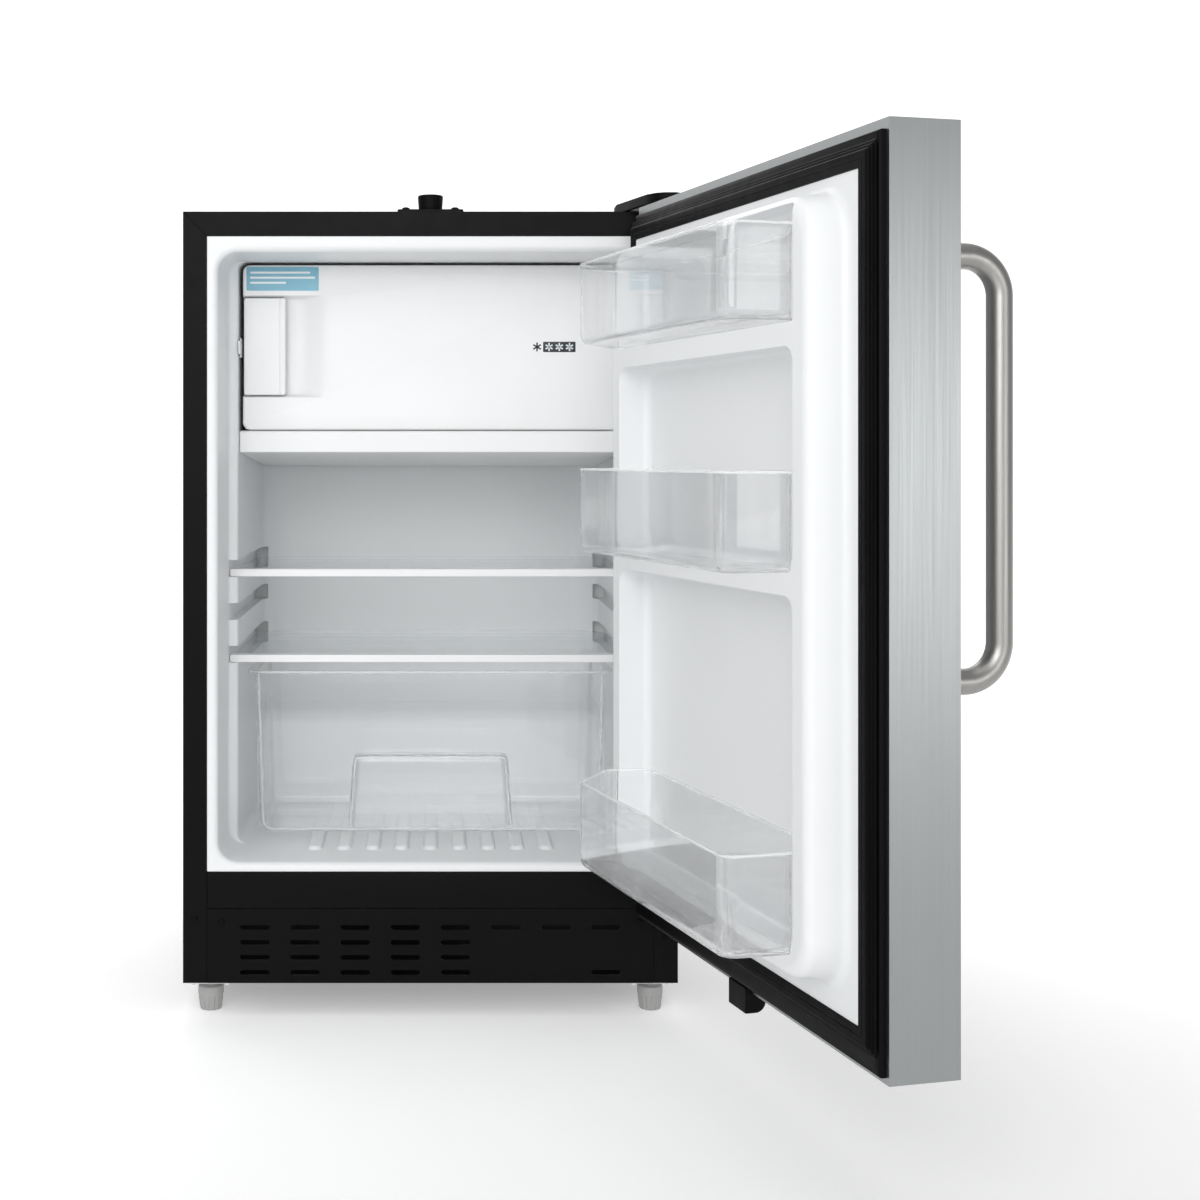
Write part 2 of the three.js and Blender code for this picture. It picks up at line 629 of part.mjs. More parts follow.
// Four walls that lean in a little to the bottom, as one closed box of straight lofts.
function taperedBox(bottom, top, z0, z1) {
  const bottomShape = rounded(...bottom);
  const topShape = rounded(...top);
  const low = bottomShape.getPoints(3);
  const high = topShape.getPoints(3);
  low.pop();
  high.pop();
  const n = low.length;
  const positions = [];
  low.forEach((p) => positions.push(p.x, p.y, z0));
  high.forEach((p) => positions.push(p.x, p.y, z1));
  const index = [];
  for (let i = 0; i < n; i += 1) {
    const j = (i + 1) % n;
    index.push(i, j, n + j, i, n + j, n + i);
    if (i > 0 && i < n - 1) {
      index.push(0, i + 1, i, n, n + i, n + i + 1);
    }
  }
  const geometry = new THREE.BufferGeometry();
  geometry.setAttribute('position', new THREE.Float32BufferAttribute(positions, 3));
  geometry.setIndex(index);
  return geometry;
}

function crisper() {
  const { front: y0, back: y1, low, high, half, rim } = CRISPER;
  const wall = 2.5;
  const lean = 5;
  const box = (edge, z0, z1) => taperedBox(
    [-half + lean + edge, half - lean - edge, y0 + 4 + edge, y1 - lean - edge, 12],
    [-half + edge, half - edge, y0 + edge, y1 - edge, 12], z0, z1,
  );
  const shell = cut(box(0, low, high), box(wall, low + wall, high + 1));
  const lip = cut(
    plan(rounded(-rim, rim, y0 - 2, y1, 12), high - 2.5, high, 3),
    plan(rounded(-half + wall, half - wall, y0 + wall, y1 - wall, 10), high - 4, high + 1, 3),
  );
  const hood = (edge, z0, z1) => taperedBox(
    [-87.5 + edge, 87.5 - edge, y0 - 22 + edge, y0 + 4, 6, 6, 0.5, 0.5],
    [-82.5 + edge, 82.5 - edge, y0 - 20 + edge, y0 + 4, 6, 6, 0.5, 0.5], z0, z1,
  );
  const handle = cut(hood(0, 173, 247), hood(wall, 172, 247 - wall), box(wall, low, high + 1));
  return join(shell, lip, handle);
}
place(cabinet, 'crisper_drawer', crisper(), LOOK.clear);

// ---------------------------------------------------------------------- the main door

// Door pieces are drawn closed. u runs from the hinge edge to the free edge, and v from
// the steel's rear edge towards the cabinet, so the door's outer face is at v = -thick.
const doorX = (u) => HALF - u;
const doorY = (v) => v - DOOR.proud;

function doorBlock(u0, u1, v0, v1, z0, z1) {
  return block(doorX(u1), doorX(u0), doorY(v0), doorY(v1), z0, z1);
}

function doorFace(u0, u1, z0, z1, radius, v0, v1, segments = 3) {
  return front(rounded(doorX(u1), doorX(u0), z0, z1, radius), doorY(v0), doorY(v1), segments);
}

const BUSH = { radius: 7, bore: 4.5, long: 12 };

function bushHoles(radius) {
  return [[DOOR.low - 1, DOOR.low + BUSH.long + 2], [DOOR.high - BUSH.long - 2, DOOR.high + 1]].map(
    ([z0, z1]) => rodZ(DOOR_PIVOT.x, DOOR_PIVOT.y, z0, z1, radius, radius, 16),
  );
}

// Folded stainless skin: the outer face, four returns, and a narrow lip at the back.
function doorSkin() {
  const whole = doorBlock(0, DOOR.width, -DOOR.thick, 0, DOOR.low, DOOR.high);
  const inside = doorBlock(1, DOOR.width - 1, -DOOR.thick + 1, -1, DOOR.low + 1, DOOR.high - 1);
  const mouth = doorBlock(4.5, DOOR.width - 4.5, -DOOR.thick / 2, 1, DOOR.low + 4.5, DOOR.high - 8);
  return cut(whole, inside, mouth, ...bushHoles(BUSH.radius + GAP));
}
place(door, 'door_skin', doorSkin(), LOOK.stainless);

for (const [name, z0] of [['door_bush_lower', DOOR.low], ['door_bush_upper', DOOR.high - BUSH.long]]) {
  const { x, y } = DOOR_PIVOT;
  place(door, name, cut(
    rodZ(x, y, z0, z0 + BUSH.long, BUSH.radius, BUSH.radius, 16),
    rodZ(x, y, z0 - 1, z0 + BUSH.long + 1, BUSH.bore, BUSH.bore, 16),
  ), LOOK.blackPlastic);
}

function doorInnerFrame() {
  const ring = doorBlock(4.8, DOOR.width - 4.8, -0.6, 7, DOOR.low + 4.8, DOOR.high - 8.3);
  return cut(ring, doorBlock(34, DOOR.width - 34, -2, 9, 157, 767));
}
place(door, 'door_inner_frame', doorInnerFrame(), LOOK.blackPlastic);

// Seal with a wide foot and a narrower sealing face, whose outer edges lean in so that
// the hinge corner clears the cabinet as the door turns.
function doorGasket() {
  const v0 = 7 + GAP;
  const ring = (u, low, high, from, to) => doorBlock(u, DOOR.width - u, from, to, low, high);
  const steps = join(
    ring(4, LINING.low - 18, LINING.high + 18, v0, 9.4),
    ring(7, LINING.low - 16, LINING.high + 16, 9.2, 11.4),
    ring(10, LINING.low - 13, LINING.high + 13, 11.2, 13.4),
  );
  return cut(steps, ring(LINING.u - GAP, LINING.low - GAP, LINING.high + GAP, 0, 20));
}
place(door, 'door_gasket', doorGasket(), LOOK.gasket);

// The raised ring and two cross ledges of the door lining, and the pockets between them.
function liningForm(edge) {
  const crest = doorY(DIKE.crest - edge);
  const foot = doorY(LINING.v - edge);
  const between = (outer, v0, v1, low, high, radius) => front(
    rounded(doorX(DOOR.width - outer), doorX(outer), low, high, radius), v0, v1, 4,
  );
  const plate = doorBlock(
    LINING.u + edge, DOOR.width - LINING.u - edge, 7 + GAP, LINING.v - edge,
    LINING.low + edge, LINING.high - edge,
  );
  const wide = between(
    DIKE.outer - 4 + edge, foot - 1, crest - 8, DIKE.low - 5 + edge, DIKE.high + 4 - edge, 36,
  );
  const top = between(DIKE.outer + edge, foot, crest, DIKE.low + edge, DIKE.high - edge, 34);
  const pocketFloor = doorY(14 - edge);
  const rows = [
    [DIKE.low + 19.5, BIN_BOTTOMS[1] - 18.5, 14],
    [BIN_BOTTOMS[1] - 0.5, BIN_BOTTOMS[0] - 18.5, 14],
    [BIN_BOTTOMS[0] - 0.5, DIKE.high - 6, 2.5],
  ];
  const inner = DIKE.inner - edge;
  const pockets = rows.map(([low, high, radius]) => front(rounded(
    doorX(DOOR.width - inner), doorX(inner), low - edge, high + edge, 0, 0, radius, radius,
  ), pocketFloor, crest + 5, 4));
  return cut(join(plate, wide, top), ...pockets);
}

function doorLiner() {
  const hollow = cut(liningForm(2), doorBlock(0, DOOR.width, 20, 90, 0, 100));
  const opening = doorBlock(37, DOOR.width - 37, 0, 10.3, 160, 764);
  return cut(liningForm(0), hollow, opening);
}
place(door, 'door_liner', doorLiner(), LOOK.whiteLiner);

function doorFoam() {
  const slab = doorBlock(1.4, DOOR.width - 1.4, -DOOR.thick + 1.4, -1.4, DOOR.low + 1.4, DOOR.high - 1.4);
  const mouth = doorBlock(38, DOOR.width - 38, -2, 10, 161, 763);
  return cut(join(slab, mouth), ...bushHoles(BUSH.radius + 2 * GAP));
}
place(door, 'door_foam', doorFoam(), LOOK.foam);

function towelBar() {
  const x = doorX(HANDLE.u);
  const face = doorY(-DOOR.thick) - GAP;
  const out = doorY(-DOOR.thick - HANDLE.reach);
  return bentBar([
    [x, face, HANDLE.low], [x, out, HANDLE.low], [x, out, HANDLE.high], [x, face, HANDLE.high],
  ], HANDLE.radius, HANDLE.bend, 14, 44);
}
place(door, 'door_handle', towelBar(), LOOK.handle);

// Moulded toe tab under the door's lower edge, with a wing up behind the steel's rear edge.
const TOE = { u0: 230, u1: 265, v0: -13, v1: 6, tall: 17, round: 9.5 };

function toeTab() {
  const { u0, u1, v0, v1, tall, round } = TOE;
  const high = DOOR.low - GAP;
  const body = join(
    doorBlock(u0, u1, v0, v1, high - tall + round, high),
    doorBlock(u0, u1, v0 + round, v1, high - tall, high),
    rodX(doorY(v0 + round), high - tall + round, doorX(u1), doorX(u0), round, 32),
  );
  const above = doorBlock(u0 - 1, u1 + 1, v0 - 1, v1 + 1, high, high + round);
  return join(cut(body, above), doorBlock(u0, u1, GAP, v1, high - 1, DOOR.low + 4.5));
}
place(door, 'toe_tab', toeTab(), LOOK.blackPlastic);

// A clear bin: a neck between the lining's dikes and a wider tub in front of them, with
// the tub's corner at the hinge side cut off so that it clears the cabinet.
function binOutline(edge) {
  const neck = DIKE.crest + 1.5 - edge;
  const [n0, n1] = [BIN.neck0 + edge, DOOR.width - BIN.neck0 - edge];
  const [u0, u1] = [BIN.u0 + edge, BIN.u1 - edge];
  const vFront = BIN.front - edge;
  const chamfer = edge * 0.45;
  const corner = 9 - edge;
  const shape = new THREE.Shape();
  const at = (u, v) => [doorX(u), doorY(v)];
  shape.moveTo(...at(n1, 14.6 + edge));
  shape.lineTo(...at(n0, 14.6 + edge));
  shape.lineTo(...at(n0, neck + 2 * edge));
  if (u0 < n0) shape.lineTo(...at(u0, neck + 2 * edge));
  shape.lineTo(...at(u0, 58 - chamfer));
  shape.lineTo(...at(117 + chamfer, vFront));
  shape.lineTo(...at(u1 - corner, vFront));
  shape.absarc(doorX(u1 - corner), doorY(vFront - corner), corner, Math.PI / 2, Math.PI);
  shape.lineTo(...at(u1, neck + 2 * edge));
  if (u1 > n1) shape.lineTo(...at(n1, neck + 2 * edge));
  return shape;
}

function doorBin(low, tall) {
  return cut(
    plan(binOutline(0), low, low + tall, 3),
    plan(binOutline(BIN.wall), low + BIN.wall, low + tall + 1, 3),
  );
}

['upper', 'middle', 'lower'].forEach((name, i) => {
  place(door, `${name}_door_bin`, doorBin(BIN_BOTTOMS[i], BIN.tall[i]), LOOK.clear);
});

// ------------------------------------------- origin: middle of the floor under the model

fridge.updateMatrixWorld(true);
const bounds = new THREE.Box3().setFromObject(fridge, true);
const centre = bounds.getCenter(new THREE.Vector3());
cabinet.position.set(-centre.x, -centre.y, 0);
fridge.updateMatrixWorld(true);

export default fridge;
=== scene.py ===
import json
import math

import bmesh
import bpy
from mathutils import Matrix, Vector
from mathutils.geometry import tessellate_polygon


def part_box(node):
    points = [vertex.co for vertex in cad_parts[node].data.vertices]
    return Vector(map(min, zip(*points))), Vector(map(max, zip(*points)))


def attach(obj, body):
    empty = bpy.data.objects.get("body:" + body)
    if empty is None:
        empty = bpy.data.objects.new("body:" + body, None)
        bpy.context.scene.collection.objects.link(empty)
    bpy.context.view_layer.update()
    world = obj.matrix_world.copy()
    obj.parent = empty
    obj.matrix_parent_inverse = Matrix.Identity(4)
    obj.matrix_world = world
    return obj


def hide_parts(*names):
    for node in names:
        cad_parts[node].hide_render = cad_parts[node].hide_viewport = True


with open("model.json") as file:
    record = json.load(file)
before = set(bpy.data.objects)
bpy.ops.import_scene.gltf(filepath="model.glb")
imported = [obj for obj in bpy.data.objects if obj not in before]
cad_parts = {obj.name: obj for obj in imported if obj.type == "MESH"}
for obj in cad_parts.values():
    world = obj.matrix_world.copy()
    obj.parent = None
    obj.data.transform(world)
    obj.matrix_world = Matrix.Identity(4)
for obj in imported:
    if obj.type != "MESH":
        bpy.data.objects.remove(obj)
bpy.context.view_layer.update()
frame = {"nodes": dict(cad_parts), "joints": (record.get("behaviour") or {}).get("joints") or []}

# Every piece is drawn in millimetres in the cabinet's own frame: X = 0 on its centre line,
# Y = 0 at its front plane and Z = 0 at the floor. Door pieces are drawn with the door
# closed and their objects are turned about the main hinge, as the model stands.
MM = 0.001
shell_low, shell_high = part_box("outer_shell")
CABINET = Matrix.Translation(((shell_low.x + shell_high.x) / 2, shell_low.y, 0))
main_hinge = next(j for j in frame["joints"] if j["name"] == "main_door_hinge")
pivot = Matrix.Translation(Vector(main_hinge["pos_m"]))
OPENING = -math.radians(main_hinge["range_deg"][0])
DOOR = pivot @ Matrix.Rotation(OPENING, 4, "Z") @ pivot.inverted() @ CABINET


def extent(node, space=CABINET):
    """x0, x1, y0, y1, z0, z1 of a CAD node, in millimetres in the cabinet's or the door's frame."""
    back = space.inverted()
    points = [back @ v.co for v in frame["nodes"][node].data.vertices]
    found = []
    for axis in range(3):
        values = [p[axis] / MM for p in points]
        found += [min(values), max(values)]
    return found


# ------------------------------------------------------------------------ mesh helpers

def bm_from(verts, faces):
    bm = bmesh.new()
    made = [bm.verts.new(v) for v in verts]
    for face in faces:
        if len(set(face)) > 2:
            bm.faces.new([made[i] for i in face])
    bmesh.ops.remove_doubles(bm, verts=bm.verts, dist=1e-4)
    bmesh.ops.recalc_face_normals(bm, faces=bm.faces)
    return bm


def merge(*parts):
    """Several bmeshes as one; the others are used up."""
    whole = parts[0]
    for part in parts[1:]:
        mesh = bpy.data.meshes.new("part")
        part.to_mesh(mesh)
        part.free()
        whole.from_mesh(mesh)
        bpy.data.meshes.remove(mesh)
    return whole


def walls(rings, turns):
    """Quads from each ring of points to the next, for so many turns."""
    count = len(rings[0])
    faces = []
    for k in range(turns):
        a, b = k * count, (k + 1) % len(rings) * count
        for i in range(count):
            j = (i + 1) % count
            faces.append([a + i, a + j, b + j, b + i])
    return faces


def stack(rings):
    """A closed solid through rings of equally many points, capped at both ends."""
    count = len(rings[0])
    verts = [p for ring in rings for p in ring]
    caps = [list(range(count)), list(range(len(verts) - count, len(verts)))]
    return bm_from(verts, caps + walls(rings, len(rings) - 1))


def band(rings):
    """A closed ring-shaped solid: its section runs through the rings and back to the first."""
    return bm_from([p for ring in rings for p in ring], walls(rings, len(rings)))


def placed(a, b, level, axis):
    """A point of a flat outline, at a level along the axis that the outline faces."""
    if axis == "x":
        return level, a, b
    if axis == "y":
        return a, level, b
    return a, b, level


def quarter(steps):
    """(sin, 1 - cos) of the angles of a quarter turn, for rounding an edge."""
    angles = [math.pi / 2 * i / steps for i in range(steps + 1)]
    return [(math.sin(a), 1 - math.cos(a)) for a in angles]


def rounded(x0, x1, y0, y1, radius, steps=8):
    """Points of a rectangle with rounded corners, anticlockwise from the low left."""
    r = max(min(radius, (x1 - x0) / 2.001, (y1 - y0) / 2.001), 0.01)
    points = []
    for cx, cy, start in ((x0 + r, y0 + r, 180), (x1 - r, y0 + r, 270),
                          (x1 - r, y1 - r, 0), (x0 + r, y1 - r, 90)):
        for i in range(steps + 1):
            angle = math.radians(start + 90 * i / steps)
            points.append((cx + r * math.cos(angle), cy + r * math.sin(angle)))
    return points


def fillet_levels(low, high, edge_low, edge_high, steps=4):
    """(inset, level) pairs that round both ends of a prism between two levels."""
    levels = []
    for i in range(steps + 1 if edge_low else 1):
        angle = math.pi / 2 * i / steps if edge_low else math.pi / 2
        levels.append((edge_low * (1 - math.sin(angle)), low + edge_low * (1 - math.cos(angle))))
    for i in range(steps + 1 if edge_high else 1):
        angle = math.pi / 2 * (1 - i / steps) if edge_high else math.pi / 2
        levels.append((edge_high * (1 - math.sin(angle)), high - edge_high * (1 - math.cos(angle))))
    return levels


def slab(box, radius, edge_front, edge_back=None, steps=8, axis="y"):
    """A plate with rounded corners and rounded edges; its faces look along axis."""
    edge_back = edge_front if edge_back is None else edge_back
    sides = [box[0:2], box[2:4], box[4:6]]
    low, high = sides.pop("xyz".index(axis))
    (a0, a1), (b0, b1) = sides
    rings = []
    for inset, level in fillet_levels(low, high, edge_front, edge_back):
        corner = radius - inset * 0.6
        flat = rounded(a0 + inset, a1 - inset, b0 + inset, b1 - inset, corner, steps)
        rings.append([placed(a, b, level, axis) for a, b in flat])
    return stack(rings)


def soft_block(x0, x1, y0, y1, z0, z1, edge=0.6, segments=2):
    """A box with softened edges."""
    bm = bmesh.new()
    bmesh.ops.create_cube(bm, size=1)
    for v in bm.verts:
        v.co = Vector((
            x1 if v.co.x > 0 else x0, y1 if v.co.y > 0 else y0, z1 if v.co.z > 0 else z0,
        ))
    bmesh.ops.bevel(bm, geom=bm.edges[:], offset=edge, segments=segments, profile=0.5,
                    affect="EDGES", clamp_overlap=True)
    bmesh.ops.recalc_face_normals(bm, faces=bm.faces)
    return bm


def lathe(profile, centre, axis="z", sides=48):
    """A turned solid; profile is (radius, level) from one end of the axis to the other."""
    rings = []
    for r, level in profile:
        ring = []
        for i in range(sides):
            turn = 2 * math.pi * i / sides
            a, b = max(r, 0.01) * math.cos(turn), max(r, 0.01) * math.sin(turn)
            ring.append(tuple(c + d for c, d in zip(centre, placed(a, b, level, axis))))
        rings.append(ring)
    return stack(rings)


def fluted(levels, x, y, sides, groove):
    """A turned solid on an upright axis, with groove(angle, radius, z) taken off its radius."""
    rings = []
    for r, z in levels:
        ring = []
        for i in range(sides):
            a = 2 * math.pi * i / sides
            r_here = r - groove(a, r, z)
            ring.append((x + r_here * math.cos(a), y + r_here * math.sin(a), z))
        rings.append(ring)
    return stack(rings)


def corner_arc(before, here, after, radius, steps):
    """Points of an arc that rounds the corner at here."""
    a = (before - here).normalized()
    b = (after - here).normalized()
    half = a.angle(b) / 2
    centre = here + (a + b).normalized() * radius / math.sin(half)
    start = here + a * radius / math.tan(half)
    end = here + b * radius / math.tan(half)
    return [centre + (start - centre).slerp(end - centre, i / steps) * radius
            for i in range(steps + 1)]


def bend(points, radius, steps=8):
    """Straight runs through points, with each corner rounded to one radius."""
    corners = [Vector(p) for p in points]
    path = [corners[0]]
    for before, here, after in zip(corners, corners[1:], corners[2:]):
        path += corner_arc(before, here, after, radius, steps)
    path.append(corners[-1])
    return path


def tube(path, radius, sides=16):
    """A round bar along a path, without twist."""
    path = [Vector(p) for p in path]
    up = None
    rings = []
    for i, here in enumerate(path):
        ahead = path[min(i + 1, len(path) - 1)] - path[max(i - 1, 0)]
        ahead.normalize()
        if up is None:
            up = ahead.orthogonal().normalized()
        up = (up - ahead * up.dot(ahead)).normalized()
        across = ahead.cross(up)
        ring = []
        for k in range(sides):
            a = 2 * math.pi * k / sides
            ring.append(tuple(here + (up * math.cos(a) + across * math.sin(a)) * radius))
        rings.append(ring)
    return stack(rings)


def flat_plate(outline, holes, y0, y1):
    """A plate seen from the front, between two depths, with holes through it."""
    loops = [outline] + holes
    flat = [p for loop in loops for p in loop]
    count = len(flat)
    verts = [(x, y0, z) for x, z in flat] + [(x, y1, z) for x, z in flat]
    faces = []
    for a, b, c in tessellate_polygon([[Vector((x, z, 0)) for x, z in loop] for loop in loops]):
        faces += [[a, b, c], [count + a, count + b, count + c]]
    start = 0
    for loop in loops:
        for i in range(len(loop)):
            j = (i + 1) % len(loop)
            faces.append([start + i, start + j, count + start + j, count + start + i])
        start += len(loop)
    bm = bm_from(verts, faces)
    bmesh.ops.dissolve_limit(bm, angle_limit=math.radians(1), verts=bm.verts, edges=bm.edges)
    return bm


def prism(outline, low, high, axis="z"):
    """An outline extruded between two levels along an axis."""
    return stack([[placed(a, b, level, axis) for a, b in outline] for level in (low, high)])


def cad(node, space=CABINET):
    """A CAD node's shape in millimetres, with its flat faces whole again."""
    bm = bmesh.new()
    bm.from_mesh(frame["nodes"][node].data)
    bm.transform(Matrix.Scale(1 / MM, 4) @ space.inverted())
    bmesh.ops.remove_doubles(bm, verts=bm.verts, dist=2e-3)
    bmesh.ops.dissolve_limit(bm, angle_limit=math.radians(0.6), verts=bm.verts, edges=bm.edges)
    bmesh.ops.recalc_face_normals(bm, faces=bm.faces)
    return bm


def as_object(bm, name="scratch"):
    mesh = bpy.data.meshes.new(name)
    bm.to_mesh(mesh)
    bm.free()
    obj = bpy.data.objects.new(name, mesh)
    bpy.context.scene.collection.objects.link(obj)
    return obj


def boolean(bm, operation, *tools):
    """bm with each tool cut from it or joined to it, by the exact solver."""
    host = as_object(bm)
    helpers = [as_object(tool) for tool in tools]
    for helper in helpers:
        step = host.modifiers.new("step", "BOOLEAN")
        step.operation = operation
        step.solver = "EXACT"
        step.object = helper
    graph = bpy.context.evaluated_depsgraph_get()
    result = bmesh.new()
    result.from_mesh(host.evaluated_get(graph).to_mesh())
    for scratch in [host] + helpers:
        mesh = scratch.data
        bpy.data.objects.remove(scratch)
        bpy.data.meshes.remove(mesh)
    bmesh.ops.remove_doubles(result, verts=result.verts, dist=1e-3)
    bmesh.ops.dissolve_degenerate(result, dist=1e-3, edges=result.edges)
    return result


def finish_piece(name, bm, look, slot, body, stands_for=(), space=CABINET,
                 bevel=0, segments=3, limit=35, smooth=38):
    """Puts a finished bmesh on its body, with its material, edges and shading."""
    bm.transform(space @ Matrix.Scale(MM, 4))
    obj = as_object(bm, name)
    obj.data.materials.append(look)
    for polygon in obj.data.polygons:
        polygon.use_smooth = True
    if bevel:
        edge = obj.modifiers.new("edges", "BEVEL")
        edge.width = bevel * MM
        edge.segments = segments
        edge.limit_method = "ANGLE"
        edge.angle_limit = math.radians(limit)
        edge.use_clamp_overlap = True
        edge.harden_normals = False
        shade = obj.modifiers.new("shade", "WEIGHTED_NORMAL")
        shade.keep_sharp = True
        shade.weight = 80
    else:
        obj.data.set_sharp_from_angle(angle=math.radians(smooth))
    if slot in ("clear_plastic", "shelf_glass"):
        # Light passes clear pieces unbroken; only the eye and reflections see them.
        obj.visible_shadow = False
        obj.visible_diffuse = False
    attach(obj, body)
    if stands_for:
        names = [stands_for] if isinstance(stands_for, str) else stands_for
        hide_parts(*names)
    return obj


# --------------------------------------------------------------------------- materials

def new_look(name, color, roughness, metallic=0.0, **sockets):
    """A principled material; the other sockets are named with _ for each space."""
    look = bpy.data.materials.new(name)
    look.use_nodes = True
    shader = look.node_tree.nodes["Principled BSDF"]
    shader.inputs["Base Color"].default_value = (*color, 1)
    shader.inputs["Roughness"].default_value = roughness
    shader.inputs["Metallic"].default_value = metallic
    for socket, value in sockets.items():
        shader.inputs[socket.replace("_", " ")].default_value = value
    return look


def noise(look, scale, detail=4.0, stretch=(1, 1, 1), kind="ShaderNodeTexNoise"):
    """A procedural texture's value over the piece, in its object coordinates."""
    nodes, links = look.node_tree.nodes, look.node_tree.links
    place = nodes.new("ShaderNodeTexCoord")
    mapping = nodes.new("ShaderNodeMapping")
    mapping.inputs["Scale"].default_value = stretch
    texture = nodes.new(kind)
    texture.inputs["Scale"].default_value = scale
    if "Detail" in texture.inputs:
        texture.inputs["Detail"].default_value = detail
    links.new(place.outputs["Object"], mapping.inputs["Vector"])
    links.new(mapping.outputs["Vector"], texture.inputs["Vector"])
    return texture.outputs[0]


def ramp(look, value, low, high, start=0.3, end=0.7):
    """value spread between two colours."""
    nodes, links = look.node_tree.nodes, look.node_tree.links
    node = nodes.new("ShaderNodeValToRGB")
    node.color_ramp.elements[0].position = start
    node.color_ramp.elements[1].position = end
    node.color_ramp.elements[0].color = (*low, 1)
    node.color_ramp.elements[1].color = (*high, 1)
    links.new(value, node.inputs["Fac"])
    return node.outputs["Color"]


def spread(look, value, low, high):
    """value spread between two numbers."""
    nodes, links = look.node_tree.nodes, look.node_tree.links
    node = nodes.new("ShaderNodeMapRange")
    for socket, number in (("From Min", 0.3), ("From Max", 0.7), ("To Min", low), ("To Max", high)):
        node.inputs[socket].default_value = number
    links.new(value, node.inputs["Value"])
    return node.outputs["Result"]


def feed(look, socket, output):
    """Links an output to a socket of the look's shader."""
    look.node_tree.links.new(output, look.node_tree.nodes["Principled BSDF"].inputs[socket])


def relief(look, height, strength, distance):
    """Adds a bump; distance is in metres."""
    nodes, links = look.node_tree.nodes, look.node_tree.links
    node = nodes.new("ShaderNodeBump")
    node.inputs["Strength"].default_value = strength
    node.inputs["Distance"].default_value = distance
    links.new(height, node.inputs["Height"])
    old = look.node_tree.nodes["Principled BSDF"].inputs["Normal"]
    if old.links:
        links.new(old.links[0].from_socket, node.inputs["Normal"])
    links.new(node.outputs["Normal"], old)


def shade_between(color, amount):
    """A darker and a lighter shade of a colour."""
    low = tuple(c * (1 - amount) for c in color)
    high = tuple(min(c * (1 + amount), 1) for c in color)
    return low, high


def moulded(name, color, roughness, grain, depth, vary, **sockets):
    """Moulded or painted surface: slight colour drift, uneven gloss and fine grain."""
    look = new_look(name, color, roughness, **sockets)
    drift = noise(look, 9, 3)
    low, high = shade_between(color, vary)
    feed(look, "Base Color", ramp(look, drift, low, high))
    cloud = noise(look, 70, 5)
    feed(look, "Roughness", spread(look, cloud, roughness * 0.94, roughness * 1.07))
    relief(look, noise(look, grain, 2), depth, 0.0002)
    return look


def brushed(name, color, roughness, stretch, streak=0.10, **sockets):
    """Brushed metal, with its grain drawn out along the axis that has the low scale."""
    look = new_look(name, color, roughness, 1.0, **sockets)
    fine = noise(look, 1, 5, stretch)
    broad = noise(look, 1, 6, [s / 7 for s in stretch])
    low, high = shade_between(color, streak)
    feed(look, "Base Color", ramp(look, broad, low, high, 0.3, 0.7))
    feed(look, "Roughness", spread(look, fine, roughness * 0.82, roughness * 1.2))
    relief(look, fine, 0.12, 0.00008)
    return look


def zinc_plate():
    """Zinc plating: a faint crystal pattern under a clouded gloss."""
    look = new_look("zinc_plate", (0.7, 0.7, 0.71), 0.38, 0.75)
    grains = noise(look, 420, kind="ShaderNodeTexVoronoi")
    feed(look, "Base Color", ramp(look, grains, (0.62, 0.63, 0.64), (0.82, 0.83, 0.84), 0.1, 0.8))
    feed(look, "Roughness", spread(look, noise(look, 80, 4), 0.3, 0.5))
    return look


def clear(name, color, roughness, alpha, ior, through=1.0):
    """See-through plastic or glass, with a slow waviness and uneven gloss."""
    look = new_look(name, color, roughness, IOR=ior, Transmission_Weight=through, Alpha=alpha)
    feed(look, "Roughness", spread(look, noise(look, 60, 3), roughness, roughness * 2.2))
    relief(look, noise(look, 14, 2), 0.05, 0.001)
    return look


BLACK_SHEEN = {"Specular_IOR_Level": 0.09}
# name: (colour, roughness, grain scale, grain depth, colour drift, other sockets)
MOULDED = {
    "black_steel": ((0.0028, 0.0028, 0.003), 0.40, 900, 0.12, 0.06, BLACK_SHEEN),
    "black_plastic": ((0.0024, 0.0024, 0.0026), 0.48, 1900, 0.2, 0.06, BLACK_SHEEN),
    "white_liner": ((0.80, 0.815, 0.825), 0.38, 1400, 0.05, 0.008, {}),
    "white_moulding": ((0.87, 0.875, 0.88), 0.38, 1400, 0.06, 0.008, {}),
    "gasket": ((0.0018, 0.0018, 0.002), 0.5, 700, 0.12, 0.2, {"Specular_IOR_Level": 0.06}),
    "grey_gasket": ((0.50, 0.51, 0.52), 0.6, 700, 0.1, 0.05, {}),
    "foam": ((0.70, 0.60, 0.36), 0.85, 260, 0.6, 0.12, {}),
    "aluminium": ((0.62, 0.64, 0.66), 0.36, 500, 0.1, 0.05, {"Metallic": 1.0}),
    "foot_grey": ((0.36, 0.36, 0.355), 0.45, 1200, 0.12, 0.05, {}),
    "black_wire": ((0.011, 0.011, 0.012), 0.35, 900, 0.12, 0.05, {}),
    "compressor_black": ((0.009, 0.009, 0.010), 0.28, 240, 0.16, 0.05,
                         {"Coat_Weight": 0.3, "Coat_Roughness": 0.15}),
    "label_blue": ((0.20, 0.46, 0.58), 0.35, 25, 0.04, 0.12, {}),
    "label_white": ((0.78, 0.85, 0.88), 0.4, 1500, 0.04, 0.05, {}),
    "print_dark": ((0.02, 0.02, 0.022), 0.4, 1500, 0.04, 0.05, {}),
    "duct_matt": ((0.006, 0.006, 0.006), 0.92, 600, 0.3, 0.3, {"Specular_IOR_Level": 0.04}),
}
LOOKS = {name: moulded(name, *row[:-1], **row[-1]) for name, row in MOULDED.items()}
